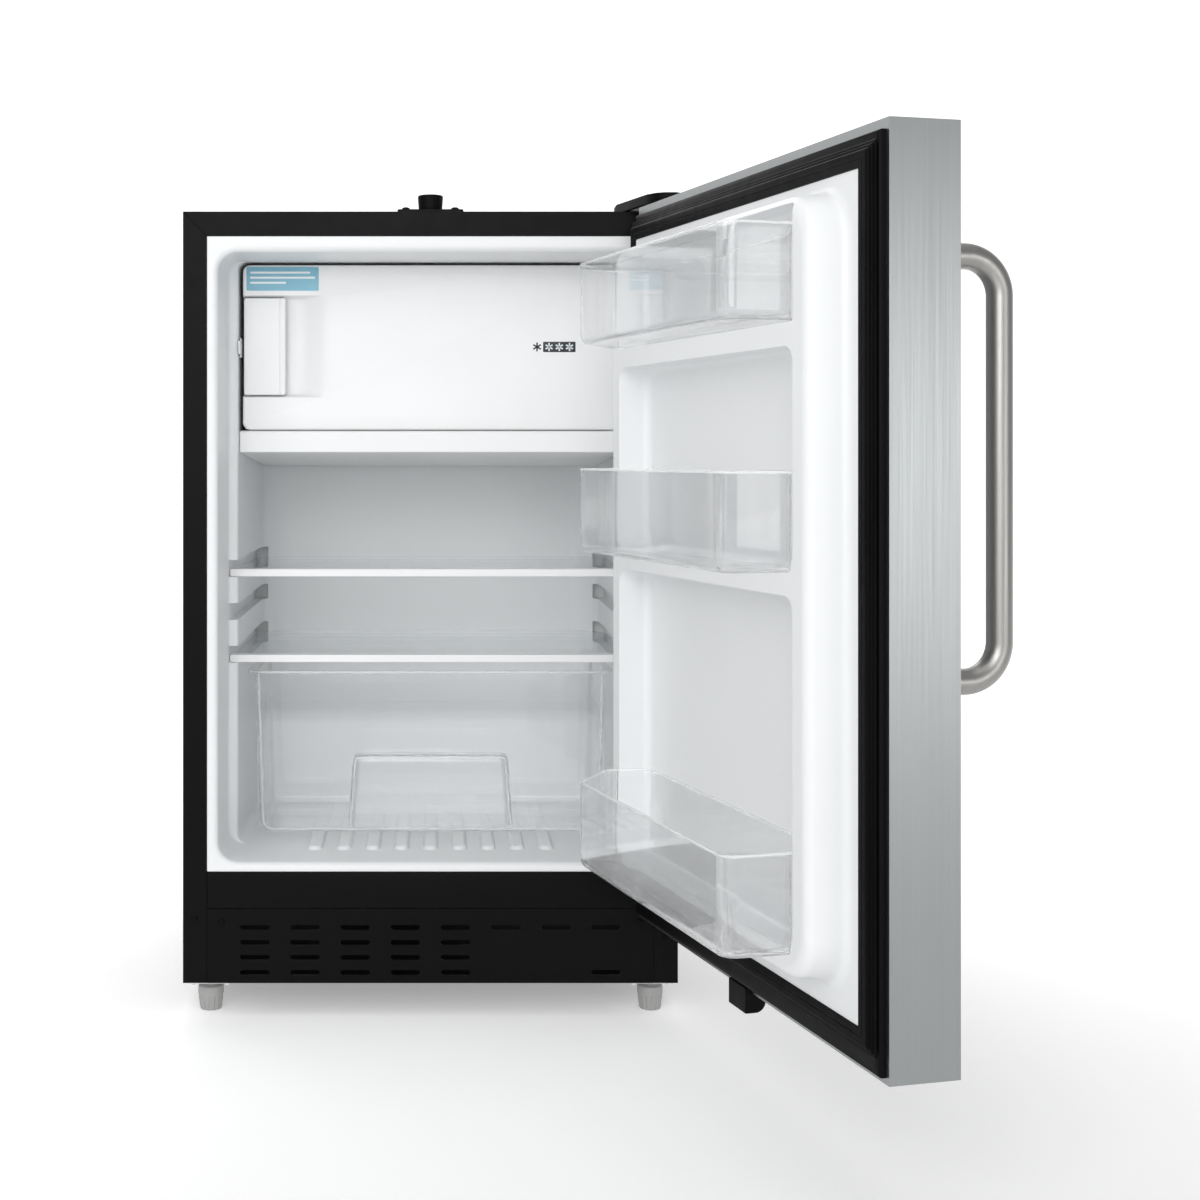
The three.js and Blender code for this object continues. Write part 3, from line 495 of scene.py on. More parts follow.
ALONG_Z = (2600, 2600, 6)
LOOKS["stainless"] = brushed("stainless", (0.338, 0.352, 0.355), 0.34, ALONG_Z, 0.022)
LOOKS["bar_steel"] = brushed("bar_steel", (0.37, 0.362, 0.35), 0.38, (2200, 2200, 12), 0.04)
LOOKS["zinc"] = zinc_plate()
PLASTIC_IOR, GLASS_IOR = 1.49, 1.52
LOOKS["clear_plastic"] = clear("clear_plastic", (0.985, 0.99, 0.995), 0.012, 0.72, PLASTIC_IOR)
LOOKS["shelf_glass"] = clear("shelf_glass", (0.90, 0.95, 0.955), 0.01, 0.8, GLASS_IOR)
# Whiter, partly diffuse clear plastic for rims and fold lines: a painted highlight that stands in for the
# glint along clear plastic edges.
CLEAR_PAINTED_HIGHLIGHT = clear("clear_plastic_painted_highlight", (0.97, 0.98, 0.985), 0.12, 0.62, PLASTIC_IOR, 0.55)


def cabinet_piece(name, bm, slot, stands_for=(), body="cabinet", look=None, **how):
    return finish_piece(name, bm, look or LOOKS[slot], slot, body, stands_for, CABINET, **how)


def door_piece(name, bm, slot, stands_for=(), body="main_door", look=None, **how):
    return finish_piece(name, bm, look or LOOKS[slot], slot, body, stands_for, DOOR, **how)


# ------------------------------------------------------------- cabinet shell and front

SX0, SX1, SY0, SY1, SZ0, SZ1 = extent("outer_shell")
SHEET = 1.2
RIM, RIM_TOP = 24, 25  # widths of the front rim's stiles and of its top rail
STILE_SEAM = 0.32


def shell_wrap():
    """Two sides and the top in one bent sheet, seen from the front as an upturned U."""
    bend_r, flange = 2.2, 12
    arc = [(math.cos(math.radians(a)), math.sin(math.radians(a))) for a in range(0, 91, 15)]

    def arch(inset):
        """The sheet's outline, from the right side's foot over the top to the left one."""
        r = bend_r - inset
        right = [(SX1 - bend_r + r * c, SZ1 - bend_r + r * s) for c, s in arc]
        left = [(SX0 + bend_r - r * s, SZ1 - bend_r + r * c) for c, s in arc]
        return [(SX1 - inset, SZ0)] + right + left + [(SX0 + inset, SZ0)]

    wrap = prism(arch(0) + arch(SHEET)[::-1], SY0 + 0.9, SY1, "y")
    flanges = [
        soft_block(x0, x1, SY1 - SHEET, SY1, z0, z1, 0.3)
        for x0, x1, z0, z1 in (
            (SX0 + 0.3, SX0 + flange, SZ0, SZ1 - 1),
            (SX1 - flange, SX1 - 0.3, SZ0, SZ1 - 1),
            (SX0 + flange, SX1 - flange, SZ1 - flange, SZ1 - 0.3),
        )
    ]
    return merge(wrap, *flanges)


def front_rim(seam, y0, y1):
    """Left and right stiles and the top rail, mitred where they meet."""
    rail = SZ1 - RIM_TOP
    outlines = [
        [(SX0, SZ0), (SX0 + RIM, SZ0), (SX0 + RIM, rail - seam), (SX0, SZ1 - seam)],
        [(SX1 - RIM, SZ0), (SX1, SZ0), (SX1, SZ1 - seam), (SX1 - RIM, rail - seam)],
        [(SX0 + RIM + seam, rail), (SX1 - RIM - seam, rail), (SX1 - seam, SZ1), (SX0 + seam, SZ1)],
    ]
    return merge(*[prism(outline, y0, y1, "y") for outline in outlines])


def seam_backs():
    """Strips behind the seams between the stiles and the grille's panel."""
    half, top = 4, 146
    return merge(*[
        soft_block(x - half, x + half, 1.6, 2.6, SZ0 + 1, top, 0.1, 1) for x in (RIM - SX1, SX1 - RIM)
    ])


cabinet_piece("cabinet_wrap", shell_wrap(), "black_steel", "outer_shell", smooth=50)
cabinet_piece("cabinet_front_rim", front_rim(STILE_SEAM, SY0, SY0 + 0.8), "black_steel",
              bevel=0.3, segments=2)
cabinet_piece("cabinet_rim_fold", front_rim(0, SY0 + 0.6, SY0 + 1.6), "black_steel")
cabinet_piece("cabinet_seam_backs", seam_backs(), "black_steel")


def kick_grille():
    """Plate with rows of air slots, folded back along its top and bottom."""
    x0, x1, y0, _, z0, z1 = extent("kick_grille")
    half_long, half_high, pitch, columns = 15, 2.5, 50.7, 8
    rows = [89.5, 74.3, 59.2, 44]
    holes = []
    for column in range(columns):
        for row, z in enumerate(rows):
            lone_slot = column == columns - 1 and row == len(rows) - 1
            if column < 5 or row == 0 or lone_slot:
                x = (column - (columns - 1) / 2) * pitch
                holes.append(rounded(x - half_long, x + half_long, z - half_high, z + half_high,
                                     half_high - 0.05, 5))
    plate = flat_plate([(x0, z0), (x1, z0), (x1, z1), (x0, z1)], holes, y0, y0 + 2)
    lips = [soft_block(x0, x1, y0 + 1, y0 + 9, top - 2, top, 0.4) for top in (z1, z0 + 3.9)]
    return merge(plate, *lips)


cabinet_piece("grille", kick_grille(), "black_plastic", "kick_grille", bevel=0.5, segments=2, limit=50)
cabinet_piece("fascia", soft_block(*extent("front_fascia"), 0.8, 3), "black_steel", "front_fascia")


def pan_screw(node):
    """Low domed head with a cross recess, looking forward."""
    x0, x1, y0, y1, z0, z1 = extent(node)
    x, z, r = (x0 + x1) / 2, (z0 + z1) / 2, (x1 - x0) / 2
    deep = y1 - y0
    head = lathe([(0, y0), (r * 0.45, y0 + 0.08), (r * 0.8, y0 + deep * 0.3), (r, y0 + deep * 0.7),
                  (r, y1), (0, y1)], (x, 0, z), "y", 24)
    arm, half = r * 0.55, r * 0.13
    cross = [
        soft_block(x - a, x + a, y0 - 1, y0 + deep * 0.5, z - b, z + b, 0.05, 1)
        for a, b in ((arm, half), (half, arm))
    ]
    return boolean(head, "DIFFERENCE", *cross)


for screw in ("rim_screw_left", "rim_screw_right", "grille_screw_left", "grille_screw_right"):
    cabinet_piece(f"{screw}_head", pan_screw(screw), "black_steel", screw)

# ------------------------------------------------------------------------------ lining

MOUTH_HALF, ROOM_HALF = 215, 204  # half widths in front of the step in the walls and behind it
STEP_Y, BACK_Y = 90, 395
CAVITY_LOW, CAVITY_HIGH = 155.2, 772.3
HUMP_Y, HUMP_Z = 300, 265  # where the floor rises over the machine space, and how high
SKIN = 2


def section(y, half, low, high, radius):
    """The cavity's outline at one depth."""
    return [(x, y, z) for x, z in rounded(-half, half, low, high, radius, 8)]


def liner_skin():
    """One closed skin: forward along the outside, over the lip and back to the rear wall."""
    _, flange, _, _, z0, z1 = extent("inner_liner")
    lip, lip_corner, step, turn, sill, soft = 6, 20, 4, 34, 12, 0.6
    rings = [section(SKIN, flange, z0, z1, 1), section(soft, flange, z0, z1, 1),
             section(0, flange - soft, z0 + soft, z1 - soft, 1)]
    for along, _ in quarter(6):
        out = lip * (1 - along)
        depth = lip * (1 - math.sqrt(max(1 - along ** 2, 0)))
        rings.append(section(depth, MOUTH_HALF + out, CAVITY_LOW - out, CAVITY_HIGH + out,
                             lip_corner + out))
    for along, rise in quarter(4):
        rings.append(section(STEP_Y - step + step * along, MOUTH_HALF - step * rise - 0.4,
                             CAVITY_LOW, CAVITY_HIGH, lip_corner - 1 - 2 * along))
    for along, rise in quarter(4):
        rings.append(section(STEP_Y + step * rise, ROOM_HALF + step * (1 - along),
                             CAVITY_LOW, CAVITY_HIGH, 15 - 5 * along))
    for along, rise in quarter(10):
        y = BACK_Y - turn + turn * along
        down = max(0, (y - (BACK_Y - sill)) / sill)
        drop = sill * (1 - math.sqrt(max(1 - down ** 2, 0)))
        rings.append(section(y, ROOM_HALF - turn * rise, CAVITY_LOW + drop, CAVITY_HIGH - drop, 10))
    outside = [
        section(BACK_Y + SKIN, MOUTH_HALF + SKIN, CAVITY_LOW - SKIN, CAVITY_HIGH + SKIN, 12),
        section(SKIN, MOUTH_HALF + SKIN + lip, CAVITY_LOW - SKIN - lip, CAVITY_HIGH + SKIN + lip, 24),
    ]
    return stack(outside + rings)


def liner():
    """The skin with its shelf grooves, and open where the hump's own skin takes over."""
    groove_high, groove_levels = 18, (346.5, 392, 437.5)
    grooves = []
    for z in groove_levels:
        for x0, x1 in ((-214, -198), (198, 214)):
            grooves.append(soft_block(x0, x1, STEP_Y - 8, BACK_Y - 2, z, z + groove_high, 1.5, 2))
    wide = MOUTH_HALF + 20
    over_machine = soft_block(-wide, wide, HUMP_Y + 3, BACK_Y + 15, 120, HUMP_Z - 3, 0.1, 1)
    return boolean(liner_skin(), "DIFFERENCE", *grooves, over_machine)


cabinet_piece("cabinet_lining", liner(), "white_liner", "inner_liner",
              bevel=1.0, segments=3, limit=42)


def hump_side(skin):
    """Side view of the raised rear of the floor, from its toe to the back wall."""
    toe, brow = 10, 16
    path = [(HUMP_Y - toe - 6, CAVITY_LOW - skin)]
    for along, rise in quarter(6):
        path.append((HUMP_Y - toe + (toe + skin) * along,
                     CAVITY_LOW - skin + (toe + skin) * rise))
    for along, rise in quarter(8):
        path.append((HUMP_Y + skin + (brow - skin) * rise,
                     HUMP_Z - brow + (brow - skin) * along))
    return path + [(BACK_Y + 1, HUMP_Z - skin)]


def floor_hump():
    """Bent skin over the machine space, across the whole width of the room."""
    return prism(hump_side(-0.2) + hump_side(SKIN)[::-1], -ROOM_HALF - 0.5, ROOM_HALF + 0.5, "x")


cabinet_piece("lining_hump", floor_hump(), "white_liner")


def floor_rib(x):
    """Low rounded rib on the floor, with a round front end."""
    half, y0, y1 = 7.5, 58, 296
    # (distance in from the rib's foot, height)
    side = ((-1.2, 154.9), (-0.3, 155.6), (0.3, 157), (1.0, 158.3), (2.2, 159.1), (4.0, 159.3))
    rings = []
    for inset, z in side:
        flat = rounded(x - half + inset, x + half - inset, y0 + inset, y1, half - inset, 7)
        rings.append([(px, py, z) for px, py in flat])
    return stack(rings)


RIB_COUNT, RIB_PITCH = 9, 30.2
cabinet_piece("lining_ribs", merge(*[
    floor_rib((i - (RIB_COUNT - 1) / 2) * RIB_PITCH) for i in range(RIB_COUNT)
]), "white_liner")

# ------------------------------------------------------------------------ freezer box

cabinet_piece("freezer_floor", cad("freezer_divider"), "white_moulding", "freezer_divider",
              bevel=2.6, segments=4, limit=30)


def evaporator():
    """Thin plate round the freezer with the raised channel of its refrigerant run."""
    x0, x1, y0, y1, z0, z1 = extent("evaporator_plate")
    thick, below = 1.6, 20
    outer = rounded(x0, x1, z0 - below, z1, 12, 8)
    inner = rounded(x0 + thick, x1 - thick, z0 - below - 2, z1 - thick, 10.5, 8)
    open_foot = soft_block(x0 - 5, x1 + 5, y0 - 5, y1 + 5, z0 - 2 * below, z0, 0.1, 1)
    shell = boolean(prism(outer, y0, y1, "y"), "DIFFERENCE",
                    prism(inner, y0 - 5, y1 + 5, "y"), open_foot)
    runs, in_by, first, pitch = 5, 2.2, 26, 40
    channels = []
    for i in range(runs):
        y = y0 + first + i * pitch
        path = bend([(x0 + in_by, y, z0 + 14), (x0 + in_by, y, z1 - in_by),
                     (x1 - in_by, y, z1 - in_by), (x1 - in_by, y, z0 + 14)], 9, 6)
        channels.append(tube(path, 2.6, 10))
    return merge(shell, *channels)


cabinet_piece("evaporator", evaporator(), "aluminium", "evaporator_plate")
cabinet_piece("catch", cad("freezer_catch"), "white_moulding", "freezer_catch", bevel=0.7)

FX0, FX1, FY0, FY1, FZ0, FZ1 = extent("freezer_door")
LX0, LX1, LY0, LY1, LZ0, LZ1 = extent("freezer_latch")
STAR_Z = 682


def on_freezer_door(name, bm, slot="white_moulding", stands_for=(), **how):
    return cabinet_piece(name, bm, slot, stands_for, body="freezer_door_body", **how)


def freezer_panel():
    """Slab with a soft front edge and the scooped recess beside its lever."""
    panel = slab((FX0, FX1, FY0, FY1, FZ0, FZ1), 8, 2.6, 1.2)
    scoop, deep, run, steps, corner = -107, 14, 36, 14, 9
    mouth = rounded(FX0 - 20, scoop + 3, LZ0 - 2.6, LZ1 + 2.6, corner, 8)
    rings = [[(x, FY0 - 1, z) for x, z in mouth]]
    for i in range(steps + 1):
        t = i / steps
        slope = run * math.acos(1 - 2 * t) / math.pi
        wall = 1.1 - 3.2 * t
        flat = rounded(FX0 - 20, scoop + 1 - slope, LZ0 - wall - 1.5, LZ1 + wall + 1.5, corner, 8)
        rings.append([(x, FY0 + deep * t, z) for x, z in flat])
    return boolean(panel, "DIFFERENCE", stack(rings))


def latch_lever():
    """Shallow plate with a rolled finger edge on its right."""
    plate = slab((LX0, LX1 - 1, LY0 + 1.4, LY0 + 7, LZ0, LZ1), 3, 1.6, 0.8)
    edge = slab((LX1 - 6.5, LX1, LY0, LY1, LZ0, LZ1), 2.6, 1.4, 1.2)
    return merge(plate, edge)


def freezer_label():
    """Coloured patch at the door's upper left, and the blank pale bars on it."""
    x0, z0, long, tall = FX0 + 4, FZ1 - 27.5, 77, 25.4
    first, pitch, bar_high, margin = 18.2, 5.4, 2.2, 4
    patch = slab((x0, x0 + long, FY0 - 0.16, FY0 + 0.4, z0, z0 + tall), 1.6, 0.05, 0.05)
    bars = []
    for row, length in enumerate((64, 69, 38)):
        z = z0 + first - row * pitch
        bars.append(slab((x0 + margin, x0 + margin + length, FY0 - 0.24, FY0 - 0.02, z, z + bar_high),
                         0.6, 0.03, 0.03))
    return patch, merge(*bars)


def star(x, size, y0, y1):
    """Six-armed star of three crossed bars, as on a freezer's star rating."""
    arms = []
    for k in range(3):
        bar = slab((-size / 2, size / 2, y0, y1, -size * 0.09, size * 0.09), 0.2, 0.02, 0.02, 2)
        turn = Matrix.Rotation(math.radians(60 * k + 30), 4, "Y")
        bar.transform(Matrix.Translation((x, 0, STAR_Z)) @ turn)
        arms.append(bar)
    return merge(*arms)


on_freezer_door("freezer_panel", freezer_panel(), stands_for="freezer_door", smooth=30)
cabinet_piece("lever", latch_lever(), "white_moulding", "freezer_latch", body="latch_lever")
on_freezer_door("freezer_seal", cad("freezer_gasket"), "grey_gasket", "freezer_gasket", bevel=1.2)
label, label_bars = freezer_label()
on_freezer_door("freezer_label", label, look=LOOKS["label_blue"])
on_freezer_door("freezer_label_bars", label_bars, look=LOOKS["label_white"])
star_box = slab((120, 154.6, FY0 - 0.14, FY0 + 0.4, STAR_Z - 5.5, STAR_Z + 5.5), 0.8, 0.04, 0.04)
on_freezer_door("star_box", star_box, "black_plastic", look=LOOKS["print_dark"])
on_freezer_door("first_star", star(113.6, 9.4, FY0 - 0.16, FY0 + 0.2), "black_plastic",
                look=LOOKS["print_dark"])
white_stars = merge(*[star(x, 8.6, FY0 - 0.26, FY0 - 0.06) for x in (126.4, 137.3, 148.2)])
on_freezer_door("three_stars", white_stars, look=LOOKS["label_white"])

for pin in ("freezer_pin_lower", "freezer_pin_upper"):
    px0, px1, py0, py1, pz0, pz1 = extent(pin)
    radius = (px1 - px0) / 2
    profile = [(0, pz0), (radius, pz0), (radius, pz1), (0, pz1)]
    round_pin = lathe(profile, ((px0 + px1) / 2, (py0 + py1) / 2, 0), sides=24)
    cabinet_piece(f"{pin}_round", round_pin, "zinc", pin)

# ----------------------------------------------------------------- shelves and crisper

for level in ("upper", "lower"):
    cabinet_piece(f"{level}_glass", cad(f"{level}_shelf_glass"), "shelf_glass",
                  f"{level}_shelf_glass", body=f"{level}_shelf", bevel=0.7, segments=2)
    cabinet_piece(f"{level}_trim", cad(f"{level}_shelf_trim"), "white_moulding",
                  f"{level}_shelf_trim", body=f"{level}_shelf", bevel=0.8, segments=3)

CRISPER_FRONT = extent("crisper_drawer")[2]  # the hood's front
CZ0, CZ1 = extent("crisper_drawer")[4:]
TUB_HALF, TUB_Y0, TUB_Y1 = 190, 118, 293
TUB_WALL = 2.4


def crisper():
    """Clear drawer: one skin down the outside, across the bottom and up the inside."""
    lean, fold = 5, 10

    def ring(z, inset, radius):
        fall = lean * (CZ1 - z) / (CZ1 - CZ0)
        return [(x, y, z) for x, y in rounded(
            -TUB_HALF + fall + inset, TUB_HALF - fall - inset,
            TUB_Y0 + fall * 0.8 + inset, TUB_Y1 - fall - inset, radius, 8)]

    rings = [ring(CZ0 + fold * rise, fold * (1 - along), 14) for along, rise in quarter(6)]
    rings += [ring(CZ1 - 3, 0, 14), ring(CZ1 - 3, TUB_WALL, 12)]
    tight = fold - TUB_WALL
    for along, rise in reversed(quarter(6)):
        rings.append(ring(CZ0 + TUB_WALL + tight * rise, TUB_WALL + tight * (1 - along), 12))
    return stack(rings)


def crisper_rim():
    """Turned-out lip round the drawer's top, wider along its sides to run on the lining."""
    rings = []
    for out, side, drop in (
        (0, 0, 3), (0.4, 0.6, 2.7), (1.6, 6.4, 2.5), (2, 7, 2.1), (2, 7, 0.5), (1.6, 6.5, 0),
        (-2, -2, 0), (-2.4, -2.4, 0.5), (-2.4, -2.4, 3),
    ):
        flat = rounded(-TUB_HALF - side, TUB_HALF + side, TUB_Y0 - out, TUB_Y1 + min(out, 0),
                       max(13 + side * 0.4, 8), 8)
        rings.append([(x, y, CZ1 - drop) for x, y in flat])
    return band(rings)


def crisper_hood():
    """Hooded grip on the drawer's front, open underneath."""
    low, top, lean, half = 173, 247, 5, 82.5

    def ring(z, inset):
        out = lean * (1 - (z - low) / (top - low))
        return [(x, y, z) for x, y in rounded(
            -half - out + inset, half + out - inset,
            CRISPER_FRONT + (2 - 0.4 * out) + inset, CRISPER_FRONT + 27, 7, 6)]

    brow, tight = 6, 5
    outer = [ring(low, 0), ring(low + 0.6, -0.2)]
    inner = [ring(low - 2, TUB_WALL)]
    for along, rise in quarter(5):
        outer.append(ring(top - brow + brow * along, brow * rise))
        inner.append(ring(top - TUB_WALL - tight + tight * along, TUB_WALL + tight * rise))
    behind_face = soft_block(-200, 200, 121, 160, 150, 260, 0.1, 1)
    return boolean(stack(outer), "DIFFERENCE", stack(inner), behind_face)


def crisper_fold_highlights():
    """Whitish lines, a painted highlight where the clear walls fold: round the drawer's face and round its
    hood.
    """
    thick = 1.0
    top, bottom = CZ1 - 4, CZ0 + 3.8
    near, far = CRISPER_FRONT + 2.9, CRISPER_FRONT + 4.8
    face = bend([(-185, 123, top), (-180, 126, bottom), (180, 126, bottom), (185, 123, top)], 11, 8)
    hood = bend([(-84.6, near, 174), (-79.6, far, 244.4), (79.6, far, 244.4), (84.6, near, 174)], 4, 6)
    return merge(tube(face, thick, 10), tube(hood, thick, 10))


cabinet_piece("crisper_box", crisper(), "clear_plastic", "crisper_drawer", body="crisper", smooth=50)
# The rim's shape is real. Its whiter look, like that of the fold lines, is a painted highlight along the
# drawer's edges.
cabinet_piece("crisper_rim", crisper_rim(), "clear_plastic", body="crisper", look=CLEAR_PAINTED_HIGHLIGHT, smooth=35)
cabinet_piece("crisper_hood", crisper_hood(), "clear_plastic", body="crisper", smooth=35)
cabinet_piece("crisper_fold_highlights", crisper_fold_highlights(), "clear_plastic", body="crisper", look=CLEAR_PAINTED_HIGHLIGHT)

# --------------------------------------------------------------------------- cold control

cabinet_piece("control_housing", cad("thermostat_housing"), "white_moulding", "thermostat_housing",
              bevel=2, segments=3)


def control_knob():
    """Dial with a raised bar across it to turn it by."""
    x0, _, y0, y1, z0, z1 = extent("thermostat_knob")
    y, z = (y0 + y1) / 2, (z0 + z1) / 2
    radius = (y1 - y0) / 2
    face = x0 + 5
    rim = face + 11.4
    dial = lathe([(0, rim), (radius, rim), (radius, face + 4), (radius - 1, face + 1.6),
                  (radius - 3, face + 0.2), (0, face)], (0, y, z), "x", 60)
    half, reach = 2.5, radius - 1.5
    grip = slab((x0, face + 2, y - half, y + half, z - reach, z + reach), 2.2, 1.2, 0.5, axis="x")
    return merge(dial, grip)


cabinet_piece("control_knob", control_knob(), "white_moulding", "thermostat_knob", body="cold_control")

# --------------------------------------------------------------- top: hinge and counter stop

cabinet_piece("hinge_cap", cad("top_hinge_cover"), "black_plastic", "top_hinge_cover",
              bevel=2.2, segments=4)
cabinet_piece("top_hinge_leaf", cad("top_hinge"), "zinc", "top_hinge", bevel=0.6, segments=2, limit=50)
cabinet_piece("bottom_hinge_leaf", cad("bottom_hinge"), "black_steel", "bottom_hinge",
              bevel=0.6, segments=2, limit=50)
cabinet_piece("stop_plate", cad("counter_stop_plate"), "black_steel", "counter_stop_plate",
              bevel=0.7, segments=3, limit=50)


def stop_knob():
    """Round knob with a shallow grooved rim and a dished top."""
    x0, x1, y0, y1, z0, top = extent("counter_stop_knob")
    x, y = (x0 + x1) / 2, (y0 + y1) / 2
    base = z0 + 2.9
    levels = [(11.6, base), (12.0, base + 0.6), (12.2, base + 3), (12.9, top - 2.2), (12.7, top - 0.9),
              (12.0, top - 0.2), (10.4, top), (8.6, top - 0.5), (4, top - 0.8), (0.02, top - 0.8)]
    depth, count, rim_from = 0.28, 30, 11.7

    def groove(angle, r, z):
        return depth * (0.5 + 0.5 * math.cos(count * angle)) if r > rim_from else 0

    stem = lathe([(0, z0), (4.2, z0), (4.2, base + 1), (0, base + 1)], (x, y, 0), sides=24)
    return merge(fluted(levels, x, y, 120, groove), stem)


cabinet_piece("stop_knob", stop_knob(), "black_plastic", "counter_stop_knob", body="counter_stop")


def top_screw(node):
    """Low domed head with a cross recess, looking up."""
    x0, x1, y0, y1, z0, z1 = extent(node)
    x, y, r = (x0 + x1) / 2, (y0 + y1) / 2, (x1 - x0) / 2
    tall = z1 - z0
    head = lathe([(0, z0), (r, z0), (r, z0 + tall * 0.3), (r * 0.85, z0 + tall * 0.75),
                  (r * 0.5, z1), (0, z1)], (x, y, 0), sides=28)
    arm, half = r * 0.5, r * 0.12
    cross = [
        soft_block(x - a, x + a, y - b, y + b, z1 - tall * 0.45, z1 + 1, 0.05, 1)
        for a, b in ((arm, half), (half, arm))
    ]
    return boolean(head, "DIFFERENCE", *cross)


for hand in ("left", "right"):
    cabinet_piece(f"stop_screw_{hand}", top_screw(f"counter_stop_screw_{hand}"), "black_steel",
                  f"counter_stop_screw_{hand}")

# -------------------------------------------------------------------------------- feet


def foot(node):
    """Tapered foot with moulded flats round its body, on a threaded stud."""
    x0, x1, y0, y1, _, z1 = extent(node)
    x, y = (x0 + x1) / 2, (y0 + y1) / 2
    top_r, low_r, pad_top, flats = (x1 - x0) / 2, 11, 26.5, 12
    levels = [(0.02, 0), (low_r - 1.6, 0), (low_r - 0.5, 0.5), (low_r, 1.6), (low_r + 1.35, 12),
              (low_r + 1.5, 14.4), (top_r - 0.3, 15.4), (top_r, 16.2), (top_r, 22.6), (top_r - 0.4, 23.8),
              (top_r - 2.4, 24.6), (7.2, 25), (7, 26.4), (4.4, pad_top), (0.02, pad_top)]

    def groove(angle, r, z):
        return max(0, math.cos(flats * angle)) ** 2 if 1 < z < 14.5 and r > 5 else 0

    turns, pitch, root, crest, start = 24, 1.25, 4.0, 4.6, 26.4
    thread = [(crest if i % 2 else root, start + i * pitch / 2) for i in range(turns * 2 + 1)]
    stud = lathe([(0, start)] + thread + [(3.2, z1), (0, z1)], (x, y, 0), sides=28)
    return fluted(levels, x, y, 96, groove), stud


def hex_cut(angle, r, z):
    """What a hexagon takes off a circle through its corners; the washer stays round."""
    across = r / math.cos(angle % (math.pi / 3) - math.pi / 6) * math.cos(math.pi / 6)
    return r - across if r < 5 else 0


def foot_bracket(node):
    """Pressed plate with two hex bolt heads under it."""
    x0, x1, y0, y1, z0, z1 = extent(node)
    plate = slab((x0, x1, y0, y1, z1 - 2.7, z1), 3, 0.6, 0.4, 5, axis="z")
    levels = [(2.6, z0), (3.9, z0 + 0.5), (4.0, z0 + 1), (4.0, z1 - 3.1), (5.2, z1 - 3.1), (5.2, z1 - 2.5)]
    apart = 18
    heads = [fluted(levels, (x0 + x1) / 2 + side * apart, y0 + 8, 24, hex_cut) for side in (-1, 1)]
    return merge(plate, *heads)


for end in ("front", "rear"):
    for hand in ("left", "right"):
        which = f"{end}_{hand}"
        pad, stud = foot(f"foot_{which}")
        body = f"{which}_foot"
        cabinet_piece(f"foot_pad_{which}", pad, "foot_grey", f"foot_{which}", body=body, smooth=45)
        cabinet_piece(f"foot_stud_{which}", stud, "zinc", body=body, smooth=20)
        cabinet_piece(f"foot_bracket_{which}", foot_bracket(f"foot_plate_{which}"), "zinc",
                      f"foot_plate_{which}", smooth=30)

# --------------------------------------------------------------------- cold machine, rear

cabinet_piece("pan", cad("base_pan"), "black_steel", "base_pan", look=LOOKS["duct_matt"],
              bevel=0.4, segments=2, limit=50)
cabinet_piece("duct_sheet", cad("insulation_base_plate"), "zinc", "insulation_base_plate",
              bevel=0.4, segments=2, limit=50)


def back_panel():
    """Sheet with two pressed stiffening ribs and a clip strip."""
    x0, x1, _, y1, z0, z1 = extent("back_panel")
    face = y1 - 3
    sheet = soft_block(x0, x1, face - SHEET, face, z0, z1, 0.3, 1)
    half, rib_x = 6, 232
    ribs = []
    for x in (-rib_x, rib_x):
        rings = []
        for inset, y in ((0, face - 0.3), (0.8, face + 0.5), (2.2, face + 1.0), (4, face + 1.1)):
            flat = rounded(x - half + inset, x + half - inset, z0 + 20 + inset, z1 - 30 - inset,
                           half - inset, 6)
            rings.append([(px, y, pz) for px, pz in flat])
        ribs.append(stack(rings))
    clip = soft_block(-60, 60, face - 0.4, face + 2.9, 700, 712, 0.8, 2)
    return merge(sheet, clip, *ribs)


cabinet_piece("rear_sheet", back_panel(), "black_steel", "back_panel", smooth=30)
COIL_LOW, COIL_HIGH, COIL_TURNS, COIL_HALF = 280, 740, 9, 205
COIL_PITCH = (COIL_HIGH - COIL_LOW) / COIL_TURNS
COIL_Y = SY1 + 16


def condenser_path():
    """Back and forth across the cabinet's rear, rising a pitch at each turn."""
    points = [(-COIL_HALF, COIL_Y, COIL_LOW)]
    for i in range(COIL_TURNS + 1):
        start = -COIL_HALF if i % 2 == 0 else COIL_HALF
        z = COIL_LOW + i * COIL_PITCH
        if i:
            points.append((start, COIL_Y, z))
        points.append((-start, COIL_Y, z))
    return bend(points, COIL_PITCH / 2 - 0.5, 8)


def condenser():
    """Bent tube with upright wires on both its sides, held by four clips and stand-offs."""
    z0, z1 = extent("condenser_coil")[4:]
    parts = [tube(condenser_path(), 3, 14)]
    wires, wire_pitch, wire_r, clip_x = 29, 13, 0.9, 190
    for i in range(wires):
        x = (i - (wires - 1) / 2) * wire_pitch
        for y in (COIL_Y + 3.6, COIL_Y - 3.2):
            parts.append(tube([(x, y, z0 + 0.5), (x, y, z1 - 0.5)], wire_r, 8))
    for x in (-clip_x, clip_x):
        for z in (COIL_LOW + COIL_PITCH, COIL_HIGH - COIL_PITCH):
            parts.append(soft_block(x - 6, x + 6, SY1 - 1.2, COIL_Y + 1, z - 1.2, z + 1.2, 0.4))
            parts.append(soft_block(x - 6, x + 6, COIL_Y - 4.2, COIL_Y + 4.2, z - 4.2, z + 4.2, 1.6, 3))
    return merge(*parts)


cabinet_piece("condenser", condenser(), "black_wire", "condenser_coil", smooth=50)
COMPRESSOR_X, COMPRESSOR_Y = sum(extent("compressor")[:2]) / 2, 386


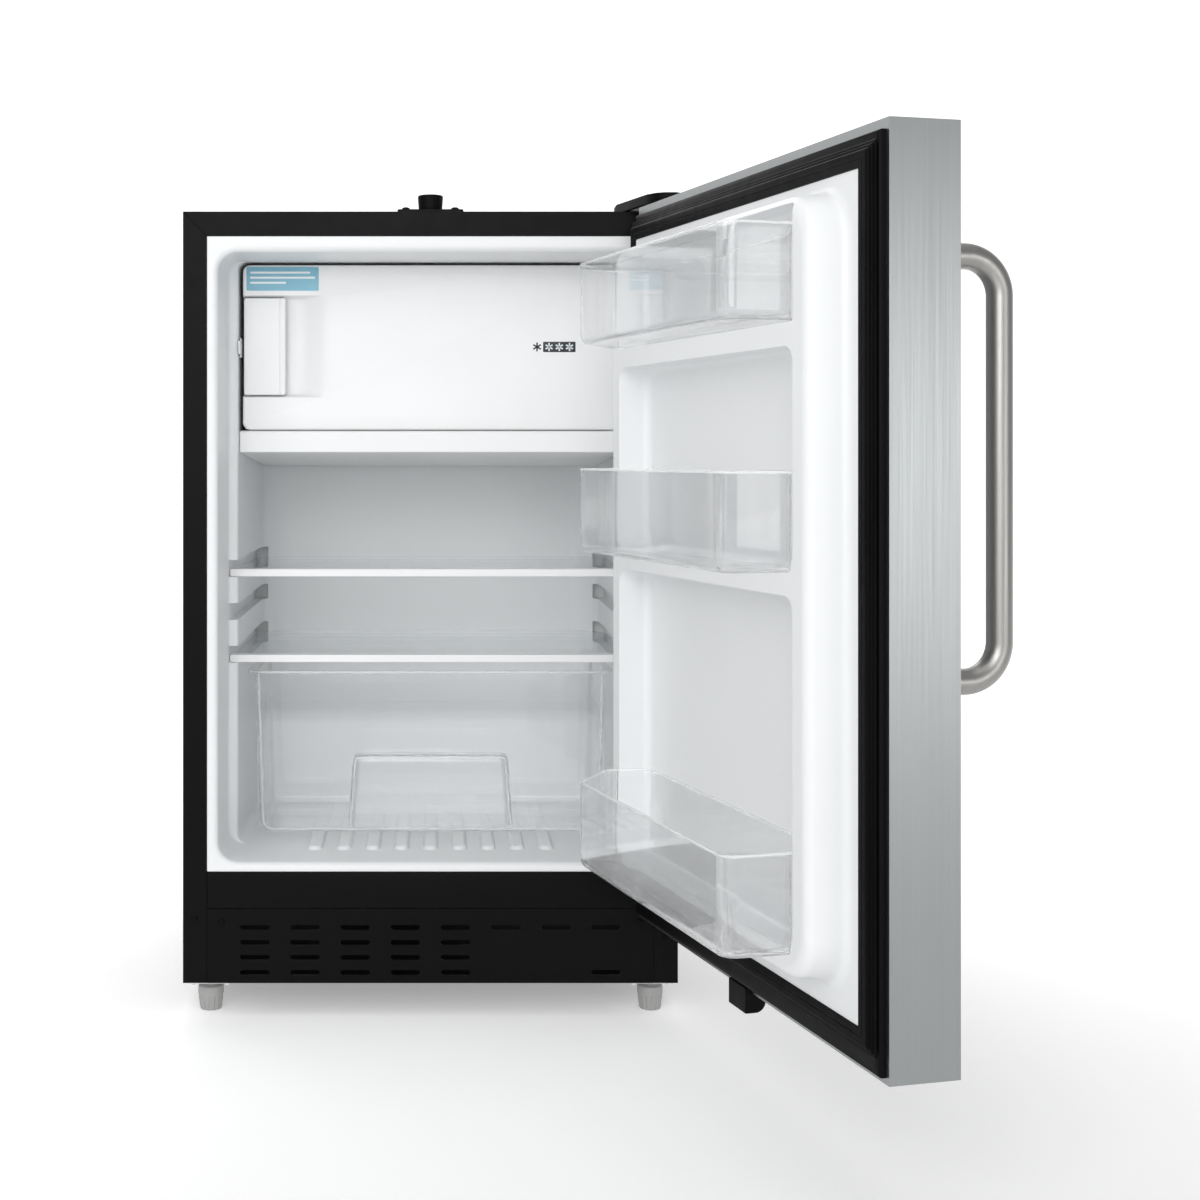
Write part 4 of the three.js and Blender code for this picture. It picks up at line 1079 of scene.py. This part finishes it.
def compressor_shell():
    """Two drawn cups welded at a flange, on a foot plate, with two pipe stubs behind."""
    x, y = COMPRESSOR_X, COMPRESSOR_Y
    profile = [(0, 58), (30, 58), (44, 60.5), (53, 67), (56.4, 76), (57, 86), (57, 96), (58.5, 97.4),
               (60, 98.4), (60.3, 100.5), (60, 102.6), (58.5, 103.6), (57, 105), (56.8, 125), (56, 140),
               (53.6, 150), (48.6, 159), (40, 166), (28, 171), (14, 173.6), (0, 174)]
    can = lathe(profile, (x, y, 0), sides=72)
    foot_plate = slab((x - 82, x + 82, y - 40, y + 40, 54, 57.4), 14, 0.8, 0.8, axis="z")
    stubs = []
    for side in (-1, 1):
        px = x + side * 20
        path = bend([(px, y + 30, 150), (px, y + 46, 160), (px, y + 46, 196)], 8, 6)
        stubs.append(tube(path, 3.6, 14))
    return merge(can, foot_plate, *stubs)


def compressor_mounts():
    """Rubber grommets on their bolts, under the ends of the compressor's foot."""
    grommet = [(0, 36), (8, 36), (9, 38), (7, 41), (8.6, 44), (8.6, 50), (7, 53), (0, 53)]
    bolt = [(0, 52), (5, 52), (5, 60), (4.4, 61), (0, 61)]
    parts = []
    for reach in (-70, 70):
        centre = (COMPRESSOR_X + reach, COMPRESSOR_Y, 0)
        parts += [lathe(grommet, centre, sides=36), lathe(bolt, centre, sides=6)]
    return merge(*parts)


cabinet_piece("compressor_can", compressor_shell(), "compressor_black", "compressor", smooth=40)
cabinet_piece("compressor_mounts", compressor_mounts(), "gasket", smooth=30)
cabinet_piece("relay_box", cad("start_relay_box"), "black_plastic", "start_relay_box", bevel=1.2)
cabinet_piece("drip_tray", cad("drain_pan"), "black_plastic", "drain_pan", bevel=0.8)
cabinet_piece("gland", cad("supply_gland"), "black_plastic", "supply_gland", bevel=0.8)

# ---------------------------------------------------------------------------- main door

door_piece("door_wrap", cad("door_skin", DOOR), "stainless", "door_skin", bevel=0.9, segments=3)


def framed(profile, box):
    """A section swept round a rectangle with square mitres. Each point of the section is
    (distance in from the rectangle, depth y)."""
    x0, x1, z0, z1 = box
    return band([
        [(x0 + inset, y, z0 + inset), (x1 - inset, y, z0 + inset),
         (x1 - inset, y, z1 - inset), (x0 + inset, y, z1 - inset)]
        for inset, y in profile
    ])


def inner_frame():
    """Black frame inside the skin, stepped down to the seal's channel."""
    x0, x1, y0, y1, z0, z1 = extent("door_inner_frame", DOOR)
    profile = [(0, y0), (0, y1 - 3.4), (0.5, y1 - 2.2), (1.6, y1 - 1.2), (4, y1 - 0.4), (7, y1),
               (28, y1), (28, y0)]
    return framed(profile, (x0, x1, z0, z1))


door_piece("door_frame", inner_frame(), "black_plastic", "door_inner_frame", smooth=35)


def gasket():
    """Magnetic seal: a flat sealing face on a folded bellows."""
    x0, x1, y0, y1, z0, z1 = extent("door_gasket", DOOR)
    profile = [
        (0.8, y0), (0.1, y0 + 0.5), (0.0, y0 + 1.1), (0.5, y0 + 1.6), (2.0, y0 + 1.9),
        (2.8, y0 + 2.3), (2.9, y0 + 2.8), (3.2, y0 + 3.2), (4.4, y0 + 3.5), (5.2, y0 + 3.8),
        (5.6, y0 + 4.4), (6.0, y0 + 5.2), (6.8, y0 + 5.8), (8.0, y1),
        (12.0, y1 - 0.05), (12.5, y1 - 0.45), (13.0, y1 - 0.05), (17.6, y1),
        (18.5, y1 - 0.35), (18.8, y1 - 1.2), (18.5, y1 - 2.2), (16.6, y1 - 2.6), (16.4, y1 - 3.0),
        (18.6, y1 - 3.4), (19.0, y0 + 1.8), (18.8, y0 + 0.6), (18.2, y0),
    ]
    return framed(profile, (x0, x1, z0, z1))


door_piece("door_seal", gasket(), "gasket", "door_gasket", smooth=30)
BIN_Y0, BIN_Y1, UPPER_BIN_LOW = extent("upper_door_bin", DOOR)[2:5]
MIDDLE_BIN_LOW = extent("middle_door_bin", DOOR)[4]
DIKE_CREST = extent("door_liner", DOOR)[3]
DIKE_OUT, DIKE_IN = 209, 185
DIKE_LOW, DIKE_HIGH = 170, 763


def door_liner():
    """Thermoformed panel: flat margin, a tall rounded dike, cross ledges and pockets."""
    x0, x1, y0, _, z0, z1 = extent("door_liner", DOOR)
    margin_y = y0 + 5

    def ring(y, out, radius):
        return [(x, y, z) for x, z in rounded(-DIKE_OUT - out, DIKE_OUT + out,
                                              DIKE_LOW - out * 0.9, DIKE_HIGH + out * 0.9, radius, 12)]

    body = [[(x, y, z) for x, z in rounded(x0 + i, x1 - i, z0 + i, z1 - i, 2, 12)]
            for i, y in ((0, y0), (0, margin_y - 0.8), (0.8, margin_y))]
    toe, brow, fold = 7, 9, 8
    for along, rise in quarter(5):
        body.append(ring(margin_y + toe * rise, 2.5 + toe * (1 - along), 38))
    for along, rise in quarter(7):
        body.append(ring(DIKE_CREST - brow + brow * along, -brow * rise, 36))
    floor_y = margin_y + 1.8
    ledge = 18.5  # how far each pocket stops short of the bin above it
    pockets = []
    for low, high, radius in (
        (DIKE_LOW + 19.5, MIDDLE_BIN_LOW - ledge, 14),
        (MIDDLE_BIN_LOW - 0.5, UPPER_BIN_LOW - ledge, 14),
        (UPPER_BIN_LOW - 0.5, DIKE_HIGH - 6, 3),
    ):
        rings = []
        for along, rise in quarter(5):
            inset = fold * (1 - along)
            flat = rounded(-DIKE_IN + inset, DIKE_IN - inset, low + inset, high - inset, radius, 8)
            rings.append([(x, floor_y + fold * rise, z) for x, z in flat])
        mouth = rounded(-DIKE_IN, DIKE_IN, low, high, radius, 8)
        pockets.append(stack(rings + [[(x, DIKE_CREST + 6, z) for x, z in mouth]]))
    return boolean(stack(body), "DIFFERENCE", *pockets)


door_piece("door_lining", door_liner(), "white_liner", "door_liner", bevel=3.2, segments=4, limit=50)


def towel_bar():
    """Bent stainless tube with a thin weld ring at each end."""
    hx0, hx1, hy0, hy1, hz0, hz1 = extent("door_handle", DOOR)
    x, radius = (hx0 + hx1) / 2, 10
    out = hy0 + radius
    low, high = hz0 + radius, hz1 - radius
    path = bend([(x, hy1, low), (x, out, low), (x, out, high), (x, hy1, high)], 30, 20)
    weld = [(0, hy1 - 2), (radius + 0.7, hy1 - 2), (radius + 1, hy1 - 1), (radius + 1, hy1 + 0.2),
            (0, hy1 + 0.2)]
    rings = [lathe(weld, (x, 0, z), "y", 48) for z in (low, high)]
    return merge(tube(path, radius, 48), *rings)


door_piece("towel_bar", towel_bar(), "bar_steel", "door_handle", smooth=50)
door_piece("toe_pull", cad("toe_tab", DOOR), "black_plastic", "toe_tab", bevel=0.8)
for bush in ("door_bush_lower", "door_bush_upper"):
    door_piece(f"{bush}_round", cad(bush, DOOR), "black_plastic", bush, bevel=0.3, segments=2, limit=50)


RIM_TALL = 1.8
BIN_WALL, BIN_FOLD = 2.4, 9


def bin_outline(inset, radius):
    """Plan of a door bin: a neck between the dikes and a wider tub, cut at the hinge side."""
    neck, wide = DIKE_IN - 1.5 - inset, 188 - inset
    back, step, front = BIN_Y0 + inset, DIKE_CREST + 1.5, BIN_Y1 - inset
    cut_x, cut_y = 133 - inset * 0.45, 44 - inset * 0.45
    corners = [(neck, back, 2), (neck, step, 0.8), (wide, step, 1.5), (wide, cut_y, 12),
               (cut_x, front, 12), (-wide, front, radius), (-wide, step, 1.5), (-neck, step, 0.8),
               (-neck, back, 2)]
    points = []
    for k, (x, y, r) in enumerate(corners):
        before = Vector(corners[k - 1][:2])
        after = Vector(corners[(k + 1) % len(corners)][:2])
        arc = corner_arc(before, Vector((x, y)), after, r, 8 if r > 3 else 3)
        points += [tuple(p) for p in arc]
    return points


def bin_ring(inset, z, radius=12):
    return [(x, y, z) for x, y in bin_outline(inset, radius)]


def door_bin(node):
    """Clear bin: one skin down the outside, over the bottom and up the inside."""
    z0, z1 = extent(node, DOOR)[4:]
    z1 -= RIM_TALL
    lean, tight = 0.55, BIN_FOLD - BIN_WALL
    rings = []
    for along, rise in quarter(5):
        rings.append(bin_ring(BIN_FOLD * (1 - along) * lean, z0 + BIN_FOLD * rise))
    rings += [bin_ring(0, z1), bin_ring(BIN_WALL, z1)]
    for along, rise in reversed(quarter(5)):
        inset = BIN_WALL + tight * (1 - along) * lean
        rings.append(bin_ring(inset, z0 + BIN_WALL + tight * rise, 10))
    return stack(rings)


def bin_rim(node):
    """Rounded edge along the top of a bin's wall, shown bright as a painted highlight."""
    z1 = extent(node, DOOR)[5]
    return band([bin_ring(inset, z1 - drop) for inset, drop in (
        (0, RIM_TALL), (-0.35, RIM_TALL * 0.7), (-0.35, 0.5), (0.2, 0),
        (2.2, 0), (2.7, 0.5), (2.7, RIM_TALL * 0.7), (2.4, RIM_TALL),
    )])


for level in ("upper", "middle", "lower"):
    door_piece(f"{level}_bin_tub", door_bin(f"{level}_door_bin"), "clear_plastic",
               f"{level}_door_bin", body=f"{level}_bin", smooth=40)
    # Each bin's rim takes the whiter clear plastic: a painted highlight along its top edge.
    door_piece(f"{level}_bin_rim", bin_rim(f"{level}_door_bin"), "clear_plastic",
               body=f"{level}_bin", look=CLEAR_PAINTED_HIGHLIGHT, smooth=50)

# Hidden insulation keeps its CAD shape and only takes a material.
for node in ("foam_insulation", "door_foam"):
    hidden = frame["nodes"][node]
    hidden.data.materials.clear()
    hidden.data.materials.append(LOOKS["foam"])

# ------------------------------------------------------------- stage, light and camera


def emitter(name, energy, size, location, target):
    """Rectangular area light aimed at a point, in metres and watts."""
    light = bpy.data.lights.new(name, "AREA")
    light.energy = energy
    light.shape = "RECTANGLE"
    light.size, light.size_y = size
    obj = bpy.data.objects.new(name, light)
    obj.location = location
    aim = Vector(target) - Vector(location)
    obj.rotation_euler = aim.to_track_quat("-Z", "Y").to_euler()
    bpy.context.scene.collection.objects.link(obj)


def sweep_floor():
    """Pale floor that curves up into a backdrop a long way behind the object."""
    wide, near, far, bend_r, tall = 9.0, -6.0, 4.0, 2.0, 6.0
    curve = [(far - bend_r + bend_r * along, bend_r * rise) for along, rise in quarter(16)]
    profile = [(near, 0)] + curve + [(far, tall)]
    verts = [(x, y, z) for y, z in profile for x in (-wide, wide)]
    faces = [[2 * i, 2 * i + 1, 2 * i + 3, 2 * i + 2] for i in range(len(profile) - 1)]
    bm = bm_from(verts, faces)
    obj = as_object(bm, "studio_sweep")
    for polygon in obj.data.polygons:
        polygon.use_smooth = True
    # The floor glows more the farther it is from a line in front of the object.
    dim_line, glow_reach, glow_most = 1.4, 2.6, 0.5
    look = new_look("studio_white", (0.88, 0.88, 0.88), 0.9, Emission_Color=(1, 1, 1, 1))
    nodes, links = look.node_tree.nodes, look.node_tree.links
    place = nodes.new("ShaderNodeTexCoord")
    axes = nodes.new("ShaderNodeSeparateXYZ")
    links.new(place.outputs["Object"], axes.inputs["Vector"])
    from_front = nodes.new("ShaderNodeMath")
    from_front.operation = "ADD"
    from_front.inputs[1].default_value = dim_line
    away = nodes.new("ShaderNodeMath")
    away.operation = "ABSOLUTE"
    links.new(axes.outputs["Y"], from_front.inputs[0])
    links.new(from_front.outputs[0], away.inputs[0])
    glow = nodes.new("ShaderNodeMapRange")
    glow.interpolation_type = "SMOOTHSTEP"
    glow.inputs["From Max"].default_value = glow_reach
    glow.inputs["To Max"].default_value = glow_most
    links.new(away.outputs[0], glow.inputs["Value"])
    links.new(glow.outputs["Result"], nodes["Principled BSDF"].inputs["Emission Strength"])
    obj.data.materials.append(look)


sweep_floor()
SKY_ON_OBJECT, SKY_IN_VIEW = 0.36, 0.93
world = bpy.data.worlds.new("studio")
world.use_nodes = True
sky = world.node_tree.nodes["Background"]
sky.inputs["Color"].default_value = (1, 1, 1, 1)
ray = world.node_tree.nodes.new("ShaderNodeLightPath")
strength = world.node_tree.nodes.new("ShaderNodeMapRange")
strength.inputs["To Min"].default_value = SKY_ON_OBJECT
strength.inputs["To Max"].default_value = SKY_IN_VIEW
world.node_tree.links.new(ray.outputs["Is Camera Ray"], strength.inputs["Value"])
world.node_tree.links.new(strength.outputs["Result"], sky.inputs["Strength"])
bpy.context.scene.world = world

middle = CABINET.translation
emitter("key_front", 46, (3.2, 2.2), (middle.x - 1.2, -3.4, 2.2), (middle.x, 0.2, 0.5))
emitter("into_the_box", 15, (1.6, 0.9), (middle.x - 0.1, -2.7, 1.05), (middle.x, 0.3, 0.55))
emitter("steel_front_right", 14.5, (1.6, 1.1), (2.5, -3.1, 0.62), (0.3, -0.5, 0.5))
emitter("overhead", 22, (3.0, 3.0), (middle.x, -0.6, 3.0), (middle.x, 0, 0.4))
emitter("behind", 26, (3.0, 1.6), (-1.2, 2.6, 3.1), (0, 0.5, 0.5))

LENS_MM, SENSOR_MM = 54, 36
SHIFT_X, SHIFT_Y = 0.1413, -0.12
CAMERA_BACK, CAMERA_HIGH = 1.818, 0.5658
camera_data = bpy.data.cameras.new("camera")
camera_data.lens = LENS_MM
camera_data.sensor_width = SENSOR_MM
camera_data.shift_x, camera_data.shift_y = SHIFT_X, SHIFT_Y
camera = bpy.data.objects.new("camera", camera_data)
camera.location = (middle.x, middle.y - CAMERA_BACK, CAMERA_HIGH)
camera.rotation_euler = (math.pi / 2, 0, 0)
bpy.context.scene.collection.objects.link(camera)
bpy.context.scene.camera = camera
bpy.context.scene.view_settings.view_transform = "Standard"
